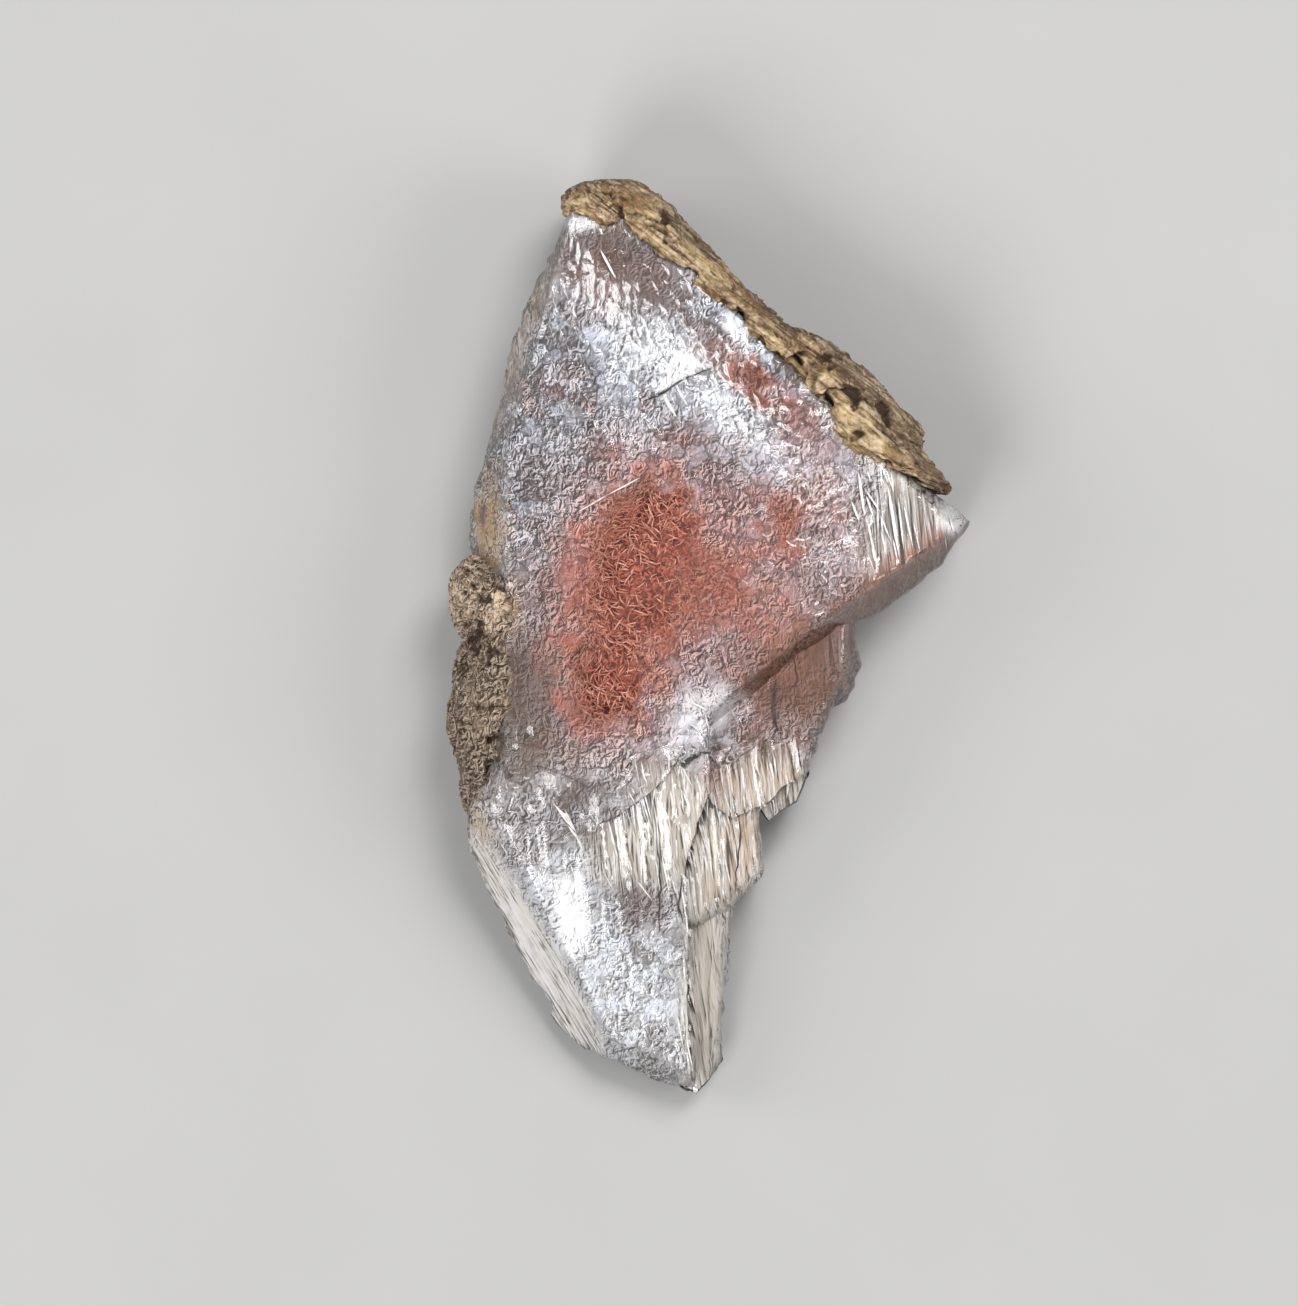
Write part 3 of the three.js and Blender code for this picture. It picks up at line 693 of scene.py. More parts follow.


# Marks on the plan, 0 to 1: how light the etching is (partly painted glare), smoky, blushed by copper,
# ochre-stained, drawn out in fibres, along rails, or clear over the wires. Each spot is (centre, half axes,
# turn in degrees, strength).

# How light the etching is: the first spots paint the glare of the lights on the upper face, the rest pale
# etching
TONE = [
    ((-3.0, 18.6), (2.2, 1.5), -20, 0.85),
    ((-7.0, 20.4), (1.3, 2.6), 36, 0.6),
    ((-5.2, 17.6), (2.2, 1.8), 0, 0.5),
    ((1.6, 14.6), (2.0, 1.5), -48, 0.85),
    ((3.6, 12.2), (1.8, 1.4), -55, 0.8),
    ((4.6, 10.2), (1.2, 1.4), 0, 0.3),
    ((-1.2, 15.0), (1.8, 1.3), -30, 0.5),
    ((2.2, 20.3), (2.2, 0.6), -46, 0.7),
    ((-6.4, 13.4), (3.4, 1.6), 20, 0.15),
    ((-12.2, 14.6), (1.8, 4.4), 18, 0.12),
    ((-11.4, 5.4), (2.2, 2.4), 0, 0.1),
    ((9.4, 8.2), (1.8, 2.4), -10, 0.35),
    ((6.4, 11.6), (1.6, 1.4), -40, 0.25),
    ((0.0, -4.8), (2.2, 1.5), 10, 1.0),
    ((-13.4, -16.6), (1.5, 6.0), 28, 0.8),
    ((-1.8, -6.2), (1.4, 0.8), 12, 0.6),
    ((11.4, 10.6), (1.5, 0.7), 0, 0.8),
    ((12.6, 7.2), (2.6, 2.8), 0, 0.24),
    ((15.6, 8.1), (0.9, 1.5), 24, 0.7),
    ((-8.8, 27.2), (1.1, 0.5), 10, 0.9),
    ((-9.0, -18.6), (2.0, 3.6), 30, 0.75),
    ((-12.8, -18.6), (2.0, 6.4), 28, 0.85),
    ((-8.0, -22.6), (3.6, 2.8), 0, 0.5),
    ((-4.9, -24.6), (3.6, 2.6), -10, 0.55),
    ((-3.4, -12.0), (4.4, 2.8), 10, 0.45),
    ((1.4, -14.4), (2.4, 3.2), 0, 0.3),
    ((-0.4, -22.0), (1.8, 5.6), 0, 0.45),
    ((-1.6, -10.2), (1.6, 2.4), 10, 0.7),
    ((-8.0, -8.6), (3.4, 0.9), 0, 0.35),
    ((-0.6, -3.4), (1.2, 0.8), 0, 0.6),
    ((4.4, -9.4), (2.8, 1.4), 12, 0.36),
    ((-11.4, 26.0), (1.2, 8.0), -27, 0.2),
    ((-6.6, -17.0), (1.4, 2.4), 0, 0.3),
]
SMOKE = [
    ((-7.4, 14.4), (1.5, 1.2), 0, 0.35),
    ((-12.4, -3.6), (3.2, 4.4), 0, 0.95),
    ((-12.6, -8.0), (2.4, 1.6), 0, 0.5),
    ((-14.8, 8.1), (0.32, 0.5), 0, 1.0),
    ((-10.6, 3.6), (1.3, 2.2), 0, 0.35),
    ((-5.9, 25.2), (2.8, 1.8), -30, 0.9),
    ((-8.0, 23.8), (1.5, 2.4), 10, 0.85),
    ((-3.4, 22.6), (2.2, 1.8), -40, 0.8),
    ((-9.8, 10.8), (1.2, 1.0), -30, 0.35),
    ((7.2, 3.0), (0.8, 1.2), 8, 0.8),
    ((6.4, 6.8), (1.1, 0.6), 8, 0.6),
    ((-1.0, 1.8), (0.9, 1.6), 20, 0.5),
    ((-8.4, -10.2), (2.8, 1.2), 8, 0.45),
    ((-9.8, -12.0), (2.8, 1.6), 24, 0.6),
    ((-4.6, -17.4), (2.2, 1.6), 4, 0.75),
    ((-5.4, -14.0), (1.4, 1.4), 4, 0.25),
    ((0.4, 18.8), (1.5, 0.9), -42, 0.45),
    ((6.2, -2.8), (3.8, 3.0), 0, 0.9),
    ((8.8, -1.6), (1.6, 2.8), 0, 0.75),
    ((12.4, 3.4), (6.2, 1.1), 38, 0.9),
    ((13.0, 8.4), (1.8, 1.4), 0, 0.25),
]
BLUSH = [
    ((-5.0, 2.4), (6.0, 8.6), -5, 1.0),
    ((3.6, 4.2), (5.0, 6.4), 0, 1.0),
    ((7.6, 10.2), (1.8, 4.0), 18, 0.75),
    ((3.3, 16.4), (2.6, 1.0), -42, 0.85),
    ((6.0, 13.4), (2.0, 1.2), -50, 0.5),
    ((0.2, 18.8), (1.9, 1.0), -36, 0.85),
    ((11.8, 3.6), (6.4, 1.3), 38, 1.0),
    ((5.2, -3.2), (4.0, 3.2), 0, 0.95),
    ((-7.2, 23.6), (1.6, 2.2), 10, 0.8),
    ((-4.0, 23.4), (2.4, 1.6), -40, 0.45),
    ((-9.6, 16.6), (1.2, 1.4), 0, 0.4),
    ((-3.0, 12.4), (4.4, 1.3), 0, 0.5),
    ((0.4, -8.9), (0.9, 1.3), -20, 0.8),
    ((-4.2, -17.6), (1.6, 1.2), 0, 0.3),
    ((-6.6, -6.6), (3.6, 1.4), 0, 0.35),
    ((1.9, -13.2), (0.9, 2.6), 0, 0.35),
]
OCHRE = [
    ((-13.2, 1.8), (1.1, 1.7), 0, 0.8),
    ((-15.0, -11.6), (0.9, 1.4), 10, 0.8),
    ((-14.8, -4.6), (0.8, 4.4), 0, 0.25),
    ((-14.3, 7.4), (0.9, 2.5), 0, 1.0),
    ((-14.3, 7.2), (0.8, 2.1), 0, 1.0),
    ((10.2, 13.4), (1.2, 3.2), 40, 0.7),
    ((-6.6, 27.1), (3.2, 0.5), -14, 0.5),
    ((-13.3, 18.0), (1.0, 8.5), -19, 0.4),
    ((1.8, -13.6), (1.8, 3.2), 0, 0.3),
    ((3.8, -9.0), (3.4, 1.6), 0, 0.3),
    ((6.0, -2.6), (3.4, 2.8), 0, 0.35),
    ((12.4, 3.5), (6.2, 1.2), 38, 0.3),
    ((-11.6, -4.8), (2.8, 4.0), 0, 0.2),
    ((-14.2, -15.4), (1.4, 5.0), 28, 0.2),
    ((4.2, 20.4), (9.0, 0.45), -47, 0.5),
]
RAILS = [((-11.9, -20.6), (1.9, 10.0), 32, 1.0), ((-14.4, -14.2), (1.4, 2.4), 20, 0.6)]
WINDOW = [
    ((-4.9, 3.8), (4.3, 5.6), -4, 1.0),
    ((-4.0, 8.2), (3.7, 2.5), 0, 1.0),
    ((-6.8, -2.6), (3.2, 3.2), -12, 1.0),
    ((3.1, 16.5), (1.7, 0.9), -42, 0.75),
    ((4.6, 8.0), (1.3, 2.2), 20, 0.7),
    ((0.8, 3.8), (1.8, 2.8), 0, 0.6),
    ((3.4, 1.8), (2.0, 1.8), 0, 0.3),
    ((5.4, -2.4), (1.8, 1.6), 0, 0.12),
]
FIBRES = [
    ((13.0, 6.4), (3.2, 4.6), 0, 1.0),
    ((4.2, -9.2), (3.6, 2.4), 0, 1.0),
    ((-4.4, -13.8), (4.0, 3.0), 0, 1.0),
    ((0.8, -14.4), (3.0, 5.0), 0, 1.0),
    ((-0.4, -23.4), (1.7, 8.0), 0, 1.0),
    ((10.6, 1.6), (7.0, 1.4), 38, 0.8),
    ((-2.6, -10.4), (2.2, 3.0), 14, 0.9),
    ((-12.6, 20.0), (1.1, 9.0), -21, 0.9),
]
CALM = [
    ((0.2, -23.0), (1.5, 6.6), 0, 0.75),
    ((6.0, -2.8), (4.6, 3.4), 0, 0.6),
    ((-6.2, 24.2), (4.4, 3.2), -30, 0.6),
    ((-12.4, -4.2), (3.2, 4.8), 0, 0.8),
    ((-9.3, -18.0), (1.5, 3.2), 28, 0.6),
    ((-5.4, -24.0), (3.0, 3.0), 0, 0.4),
    ((12.4, 3.6), (6.2, 1.2), 38, 0.5),
]
# The spots of each mark, how square their rims are, how far noise frays them in mm, and its seed
WASHES = {
    "window": (WINDOW, 4.6, 1.0, 71),
    "rail": (RAILS, 8.0),
    "fibre": (FIBRES, 4.0, 0.3, 72),
    "tone": (TONE, 2.2, 0.4, 73),
    "smoke": (SMOKE, 2.2, 0.4, 74),
    "blush": (BLUSH, 2.6, 0.5, 75),
    "ochre": (OCHRE, 2.6, 0.4, 76),
    "calm": (CALM, 3.0),
}
# Painted highlights, where cleavage facets mirror the lights: corners of a convex outline, softness of its
# edge, strength
PAINTED_GLINTS = [
    ([(-3.3, 15.9), (-0.2, 17.7), (-2.3, 18.9)], 0.12, 1.0),
    ([(-3.3, 15.9), (-0.2, 17.7), (-2.6, 19.6), (-5.6, 18.6)], 1.1, 0.4),
    ([(-0.4, 17.2), (-1.6, 15.4), (2.2, 11.9), (4.4, 12.8), (1.7, 15.4)], 0.9, 0.35),
    ([(0.9, 20.1), (2.1, 19.0), (2.6, 19.7), (1.3, 21.2)], 0.3, 0.9),
    ([(-1.6, -3.6), (-2.9, -7.2), (0.6, -5.8), (2.2, -3.8), (0.6, -3.0)], 0.8, 0.7),
    ([(-13.6, -17.4), (-10.4, -23.8), (-9.7, -23.4), (-12.9, -16.9)], 0.15, 1.0),
    ([(-14.6, -14.6), (-10.6, -23.0), (-8.9, -24.6), (-12.4, -16.0)], 0.5, 0.4),
    ([(-10.9, -15.4), (-9.6, -21.2), (-7.6, -20.4), (-8.8, -15.2)], 0.7, 0.95),
    ([(15.0, 7.4), (16.0, 6.6), (16.9, 7.7), (15.6, 9.2)], 0.4, 0.8),
    ([(-9.1, 27.3), (-9.2, 26.6), (-7.5, 26.7), (-7.2, 27.4)], 0.25, 0.9),
]


def facet(x, y, corners, soft):
    """1 inside a convex outline: the least distance to its edges, eased over a soft rim."""
    p = np.array(corners)
    n = left_of(np.roll(p, -1, axis=0) - p)
    n *= np.sign(((p.mean(axis=0) - p) * n).sum(axis=1))[:, None]
    depth = np.min([(x - a[0]) * b[0] + (y - a[1]) * b[1] for a, b in zip(p, n)], axis=0)
    return ease(depth, -soft, soft)


def marks(x, y):
    """The marks over each point of the plan, and how etched the surface is there."""
    values = {key: spots(x, y, *wash) for key, wash in WASHES.items()}
    values["fibre"] = np.maximum(values["fibre"], values["rail"])
    # Painted glints on the listed facets, a little frayed; they also lift the tone to near white
    stray = 0.12 * fractal(x, y, 0, 0.6, 79, 2)
    glints = [strength * facet(x + stray, y - stray, corners, soft) for corners, soft, strength in PAINTED_GLINTS]
    values["glint"] = np.max(glints, axis=0)
    tone = 1 - (1 - values["tone"]) * (0.9 - 0.35 * ease(-y, 6.0, 15.0))
    values["tone"] = np.maximum(tone, 0.9 * values["glint"])
    smoky = spots(x, y, SMOKE, 2.2)
    values["etch"] = (1 - 0.8 * values["fibre"]) * (1 - values["window"]) * (1 - 0.85 * smoky)
    swellings = [swelling for felt in FELTS.values() for swelling in felt]
    felts = [(c[:2], (0.9 * a, 0.9 * b), math.degrees(turn), 1.0) for c, (a, b, _), turn in swellings]
    values["open"] = values["window"] * spots(x, y, felts, 3.2)
    values["warm"] = ease(-y, 5.0, 9.0)
    return values


# Copper wire felts

# Swellings that run into each other: centre and half axes in mm, turn in radians
FELTS = {
    "copper_felt_main": (
        ((-4.6, 2.9, 7.2), (4.3, 7.0, 3.1), 0.0),
        ((-2.4, 8.0, 7.3), (3.6, 3.1, 3.0), 0.5),
        ((-6.4, -3.2, 7.0), (3.2, 2.9, 2.8), 0.3),
        ((1.6, 2.4, 6.9), (4.0, 4.2, 2.8), -0.3),
        ((4.6, 6.4, 7.1), (3.9, 4.4, 2.9), 0.2),
        ((8.6, 3.8, 6.6), (3.2, 2.0, 2.3), 0.6),
    ),
    "copper_felt_upper": (
        ((3.4, 16.4, 7.1), (2.6, 1.6, 2.7), -0.7),
        ((6.0, 13.6, 7.1), (2.0, 1.8, 2.5), -0.7),
    ),
    "copper_felt_ledge": (
        ((5.4, -3.4, 4.9), (2.5, 2.9, 1.8), 0.3),
        ((3.4, -6.4, 4.7), (2.0, 2.0, 1.6), 0.0),
    ),
}
# Wires for each square millimetre of a swelling's half axes
WIRE_DENSITY = {"copper_felt_main": 104, "copper_felt_upper": 110, "copper_felt_ledge": 90}
WIRE_SIDES = 3
WIRE_TAPER = np.array([0.4, 1.0, 1.0, 0.4])
# A direction that hardly any wire runs along, to lay its section across
ASKEW = np.array([0.31, 0.2, 1.0])
WIRE_STATIONS = len(WIRE_TAPER)
# Shortest wire in mm, and how much longer the longest is
WIRE_LENGTH = 0.45
WIRE_STRETCH = 1.2
# Thinnest and thickest wire, as shares of the radius that is asked for
WIRE_RADII = (0.5, 1.15)
# Spread of the wires' rise and bend, in radians
WIRE_RISE = 0.25
WIRE_BEND = 0.7
# Share of the wires that lie near the front of their swelling; how high those lie, and the others
FRONT_SHARE = 0.7
FRONT_HEIGHTS = (0.8, 1.0)
OTHER_HEIGHTS = (-0.9, 0.8)
# Painted shade: shade of the deepest wires; share of the raised ones that are bright; what those add to it,
# and the others
DEEP_SHADE = 0.13
BRIGHT_SHARE = 0.5
BRIGHT_SHADES = (0.5, 0.9)
DULL_SHADES = (0.05, 0.35)
# How far out of a swelling the wires' middles and their ends may lie, and how far the matted core reaches
MIDDLE_REACH = 0.97
WIRE_REACH = 0.98
CORE_REACH = 0.9
CORE_LEAST = 0.6


def areas(swellings):
    """Product of the plan's half axes for each swelling."""
    return np.array([a * b for _, (a, b, _), _ in swellings])


def turned(points, swelling):
    """Points as seen from a swelling: 1 away from its middle is on its surface."""
    centre, size, turn = swelling
    x, y, z = np.moveaxis(points - np.array(centre), -1, 0)
    return np.stack([*rotate(x, y, -turn), z], axis=-1) / np.array(size)


def kept_inside(points, swellings, limit):
    """Points, each of those outside every swelling drawn in to the nearest one at that share of its size."""
    best = np.full(points.shape[:-1], np.inf)
    moved = points.copy()
    for swelling in swellings:
        centre = np.array(swelling[0])
        r = np.linalg.norm(turned(points, swelling), axis=-1)
        drawn = centre + (points - centre) * np.minimum(1, limit / np.maximum(r, TINY))[..., None]
        moved = np.where((r < best)[..., None], drawn, moved)
        best = np.minimum(best, r)
    return moved


def either(rng, share, first, second, count):
    """Random numbers, that share of them from the first range and the others from the second."""
    return np.where(rng.uniform(0, 1, count) < share, rng.uniform(*first, count), rng.uniform(*second, count))


def wires(swellings, count, thickness, seed):
    """Curved wires in one mesh, and each point's shade. Each wire is an arc, a direction that turns evenly
    along it, with a three-sided section that tapers at both ends. Each is bright or dull at random; on top of
    that, painted light and shade make those near the front or the rim lighter and the deep ones darker."""
    rng = np.random.default_rng(seed)
    area = areas(swellings)
    pick = rng.choice(len(swellings), count, p=area / area.sum())
    centre, size, turn = (np.array(part)[pick] for part in zip(*swellings))
    reach = rng.uniform(0, 1, count) ** 0.5
    around = rng.uniform(0, 2 * math.pi, count)
    height = either(rng, FRONT_SHARE, FRONT_HEIGHTS, OTHER_HEIGHTS, count) * np.sqrt(1 - 0.9 * reach**2)
    place = np.column_stack([reach * np.cos(around), reach * np.sin(around), height]) * MIDDLE_REACH * size
    x, y, z = place.T
    middle = centre + np.column_stack([*rotate(x, y, turn), z])
    heading = rng.uniform(0, 2 * math.pi, count)
    rise = rng.normal(0, WIRE_RISE, count)
    bend = rng.normal(0, WIRE_BEND, count)
    length = WIRE_LENGTH + WIRE_STRETCH * rng.uniform(0, 1, count) ** 1.8
    t = np.linspace(-0.5, 0.5, WIRE_STATIONS)
    angle = heading[:, None] + bend[:, None] * t
    climb = np.sin(rise)[:, None] + 0.3 * np.sin(3 * t + bend[:, None])
    path = np.cumsum(np.stack([np.cos(angle), np.sin(angle), climb], axis=-1), axis=1)
    path = path * (length / WIRE_STATIONS)[:, None, None]
    path += (middle - path.mean(axis=1))[:, None]
    path = kept_inside(path, swellings, WIRE_REACH)
    tangent = unit(np.gradient(path, axis=1))
    across = unit(np.cross(tangent, ASKEW))
    up = np.cross(across, tangent)
    radius = thickness * rng.uniform(*WIRE_RADII, count)[:, None] * WIRE_TAPER
    corner = np.arange(WIRE_SIDES)[:, None] * 2 * math.pi / WIRE_SIDES
    ring = across[:, :, None] * np.cos(corner) + up[:, :, None] * np.sin(corner)
    verts = (path[:, :, None] + ring * radius[..., None, None]).reshape(-1, 3)
    # Painted light and shade: wires are darker deeper in the felt and lighter near its front and rim
    raised = np.maximum(ease(height, -0.2, 0.55), 0.95 * reach**2)
    shade = DEEP_SHADE + raised * either(rng, BRIGHT_SHARE, BRIGHT_SHADES, DULL_SHADES, count)
    points = WIRE_STATIONS * WIRE_SIDES
    band, caps = tube_faces(WIRE_STATIONS, WIRE_SIDES)
    faces = repeated(band, count, points) + repeated(caps, count, points)
    return verts, faces, np.repeat(shade, points)


def felt_core(swellings, rows=40, columns=72):
    """Closed body of a felt seen from its middle: in each direction it reaches a share of the way to the
    farthest swelling on that ray, with a rough surface."""
    weight = areas(swellings)
    middle = (np.array([c for c, _, _ in swellings]) * weight[:, None]).sum(axis=0) / weight.sum()
    ray = ball_directions(rows, columns)
    reach = np.zeros(len(ray))
    for swelling in swellings:
        start = turned(middle[None], swelling)
        heading = turned(middle + ray, swelling) - start
        a, b = (heading**2).sum(axis=1), (heading * start).sum(axis=1)
        hit = b * b - a * ((start**2).sum() - 1)
        reach = np.maximum(reach, np.where(hit > 0, (np.sqrt(np.maximum(hit, 0)) - b) / a, 0))
    rough = 1 + 0.05 * fractal(*ray.T, 0.12, 61, 2)
    reach = np.maximum(reach, CORE_LEAST) * CORE_REACH * rough
    return middle + ray * reach[:, None], ball_faces(rows, columns)


# Needles: pale thin blades just under the front

# Those that stand out: middle, length, lean from +Y in degrees, width
NEEDLES = [
    ((-6.6, 24.4), 2.2, 28, 0.14), ((-2.6, 15.2), 1.8, 30, 0.24), ((-1.7, 15.6), 1.2, 32, 0.12),
    ((-5.6, 9.9), 2.6, -62, 0.10), ((-7.6, 8.8), 2.2, -60, 0.10), ((-9.75, -10.95), 4.0, 33, 0.42),
    ((-12.55, -10.45), 2.3, 23, 0.14), ((-8.9, -12.6), 1.2, 36, 0.12), ((9.9, 9.4), 3.0, 8, 0.16),
    ((12.0, 7.6), 4.6, 9, 0.2), ((10.6, 6.2), 3.4, 12, 0.14), ((3.0, -9.2), 1.6, 4, 0.16),
    ((5.2, -9.6), 1.8, -6, 0.2), ((4.1, -8.6), 1.4, 14, 0.12), ((-0.2, -5.2), 2.0, 12, 0.1),
    ((0.4, -16.6), 2.4, 6, 0.12), ((-1.0, -16.6), 3.0, 4, 0.2), ((-4.2, -12.6), 3.0, 4, 0.16),
]
# The others: how many, how many places are tried for each, and on what part of the plan
NEEDLE_COUNT = 420
NEEDLE_TRIES = 12
NEEDLE_PLAN = ((-16, -29), (16, 28))
NEEDLE_MARGIN = 1.0
# A needle's depth below the front, how far its ends may stand over its middle, its thickness and lowest place
NEEDLE_DEPTH = 0.2
NEEDLE_RISE = 0.1
NEEDLE_THICKNESS = 0.05
NEEDLE_LOWEST = 1.0
# Corners of a needle, as shares of its length and of its width, and their order round it
NEEDLE_CORNERS = ((-0.5, 0.0), (-0.2, 0.5), (-0.2, -0.5), (0.25, 0.5), (0.25, -0.5), (0.5, 0.0))
NEEDLE_RING = [0, 1, 3, 5, 4, 2]


def needles(seed):
    """Pale needles in one mesh: flat spindles along a direction, each a flat six-sided plate drawn out to
    points. Those not listed lie at random where the crystal is light, along its threads."""
    rng = np.random.default_rng(seed)
    xy = rng.uniform(*NEEDLE_PLAN, (NEEDLE_COUNT * NEEDLE_TRIES, 2))
    mark = marks(*xy.T)
    like = mark["tone"] * (0.3 + mark["fibre"])
    like = like * (1 - mark["smoke"]) * (1 - mark["calm"]) * (1 - 0.8 * mark["rail"])
    fit = (like > rng.uniform(0.15, 1.1, len(xy))) & on_front(xy, NEEDLE_MARGIN)
    xy, rail, fibre = (values[fit][:NEEDLE_COUNT] for values in (xy, mark["rail"], mark["fibre"]))
    count = len(xy)
    railed = rng.normal(32, 2, count)
    upright = rng.normal(8, 5, count) + (1 - fibre) * rng.normal(14, 26, count)
    length = rng.uniform(0.7, 2.4, count) * (0.6 + 0.9 * fibre)
    width = rng.uniform(0.05, 0.13, count)
    drawn = np.column_stack([xy, length, np.where(rail > 0.5, railed, upright), width])
    x, y, length, lean, width = np.concatenate([[(*middle, *rest) for middle, *rest in NEEDLES], drawn]).T
    xy, lean = np.stack([x, y], axis=1), np.radians(lean)
    along = np.column_stack([-np.sin(lean), np.cos(lean)])
    side = np.column_stack([np.cos(lean), np.sin(lean)])
    corners = [xy + along * (length * a)[:, None] + side * (width * b)[:, None] for a, b in NEEDLE_CORNERS]
    flat = np.stack(corners, axis=1)
    z = front_height(flat[..., 0], flat[..., 1]) - NEEDLE_DEPTH
    high = z.min(axis=1) > NEEDLE_LOWEST
    flat, z = flat[high], z[high]
    z = np.minimum(z, z.mean(axis=1, keepdims=True) + NEEDLE_RISE)
    top = np.concatenate([flat, z[..., None]], axis=-1)
    verts = np.concatenate([top, top - [0, 0, NEEDLE_THICKNESS]], axis=1).reshape(-1, 3)
    ring, below = NEEDLE_RING, [k + len(NEEDLE_RING) for k in NEEDLE_RING]
    rim = [[ring[k - 1], ring[k], below[k], below[k - 1]] for k in range(len(ring))]
    points = 2 * len(ring)
    return verts, repeated([ring[::-1], below], len(top), points) + repeated(rim, len(top), points)


# Dark ribbons of painted shadow in hairline cracks under the front: points on the plan and the width at the
# middle
CRACKS = [
    ([(-4.3, 15.4), (-3.3, 15.9), (-1.7, 16.8), (0.4, 17.8)], 0.13),
    ([(4.4, -2.6), (4.2, -4.2), (4.5, -6.1)], 0.2),
    ([(5.5, -1.2), (5.7, -2.6), (5.2, -3.4)], 0.1),
    ([(-3.4, -13.4), (-3.2, -15.6), (-3.3, -19.2)], 0.1),
    ([(1.6, -10.6), (2.0, -12.8), (1.7, -16.6)], 0.1),
    ([(-2.6, -8.3), (-0.6, -7.5), (0.9, -7.4)], 0.14),
    ([(-1.8, -15.4), (-2.0, -17.2), (-1.7, -18.6)], 0.12),
]
# Stations along a crack, how far it sways, its depth below the front and its thickness
CRACK_STEPS = 40
CRACK_SWAY = 0.07
CRACK_DEPTH = 0.17
CRACK_THICKNESS = 0.06


def cracks(seed):
    """Thin dark ribbons of painted shadow in one mesh: smooth curves through the points, swaying a little, as
    wide as a sine along them, each with a four-sided section."""
    rings = []
    for i, (points, width) in enumerate(CRACKS):
        path = smooth_rows(points, CRACK_STEPS)
        side = -left_of(np.gradient(path, axis=0))
        sway = CRACK_SWAY * fractal(*path.T, 0, 0.7, seed + i, 2)
        path = path + side * sway[:, None]
        half = 0.5 * width * np.sin(np.linspace(0.15, math.pi - 0.15, CRACK_STEPS)) ** 0.7
        z = front_height(*path.T) - CRACK_DEPTH
        corners = ((1, 0), (-1, 0), (-1, CRACK_THICKNESS), (1, CRACK_THICKNESS))
        ring = [np.column_stack([path + side * (k * half)[:, None], z - drop]) for k, drop in corners]
        rings.append(np.stack(ring, axis=1).reshape(-1, 3))
    band, caps = tube_faces(CRACK_STEPS, 4)
    return np.concatenate(rings), repeated(band + caps, len(CRACKS), 4 * CRACK_STEPS)


# Matrix: strips carried along the broken edges

# A station says where the strip begins on the front, where it ends outwards, and how high that outer edge is
RIND_STATIONS = [
    ((-8.8, 27.2), (-9.9, 28.0), 8.4), ((-8.1, 27.4), (-9.5, 29.1), 8.4), ((-7.0, 27.3), (-7.8, 30.0), 8.0),
    ((-5.6, 26.9), (-4.9, 30.0), 7.6), ((-4.3, 26.2), (-2.8, 28.7), 7.6), ((-2.6, 25.0), (-0.6, 26.2), 7.8),
    ((-0.8, 23.3), (1.3, 24.3), 7.6), ((1.6, 21.2), (3.3, 22.4), 7.4), ((3.5, 19.3), (5.4, 20.6), 7.6),
    ((5.0, 18.2), (7.2, 19.7), 8.2), ((6.6, 16.4), (9.4, 18.4), 9.0), ((8.0, 14.7), (12.0, 15.9), 9.4),
    ((9.2, 12.8), (13.7, 14.1), 9.2), ((11.2, 11.5), (14.0, 12.4), 7.8), ((12.8, 10.5), (15.4, 10.7), 7.4),
    ((14.2, 9.6), (16.6, 9.3), 7.2),
]
CRUST_STATIONS = [
    ((-14.9, -11.6), (-16.1, -11.9), 5.8), ((-14.5, -10.0), (-16.3, -10.2), 6.0),
    ((-14.2, -8.5), (-16.2, -8.7), 6.2), ((-13.9, -7.0), (-16.8, -7.0), 6.2),
    ((-13.5, -5.4), (-17.3, -5.4), 6.0), ((-13.3, -3.6), (-16.9, -3.6), 6.0),
    ((-13.2, -1.2), (-16.4, -1.2), 6.4), ((-13.1, 0.0), (-15.9, 0.0), 7.0),
    ((-13.0, 0.8), (-16.6, 0.8), 6.8), ((-13.2, 2.5), (-17.1, 2.5), 6.6), ((-13.7, 4.2), (-16.8, 4.2), 6.8),
    ((-14.3, 5.4), (-15.7, 5.7), 7.4),
]
# Height of a strip's lip above the crystal's front, and of its foot
MATRIX_LIP = 0.3
MATRIX_FOOT = 2.2
# How fast the top of a strip falls from its lip to its outer edge: the power of the way across
MATRIX_SWEEP = 2.4
# Section of a strip, from inside the crystal over the lip, down the outside and back underneath: how far
# across each point lies, the level that its height is measured from, and how far above that it lies
MATRIX_SECTION = (
    (-0.35, "foot", 1.0), (-0.3, "brow", -1.2), (0.0, "brow", 0.1), (0.25, "sweep", 0.0),
    (0.5, "sweep", 0.0), (0.75, "sweep", 0.0), (0.93, "sweep", 0.0), (1.0, "edge", -0.6),
    (0.99, "edge", -2.0), (0.95, "edge", -3.4), (0.85, "foot", 0.6), (0.6, "foot", 0.0), (0.1, "foot", 0.0),
)
# Points round a section, and how often each is evened out with its neighbours
MATRIX_COLUMNS = 84
MATRIX_EVENING = 2


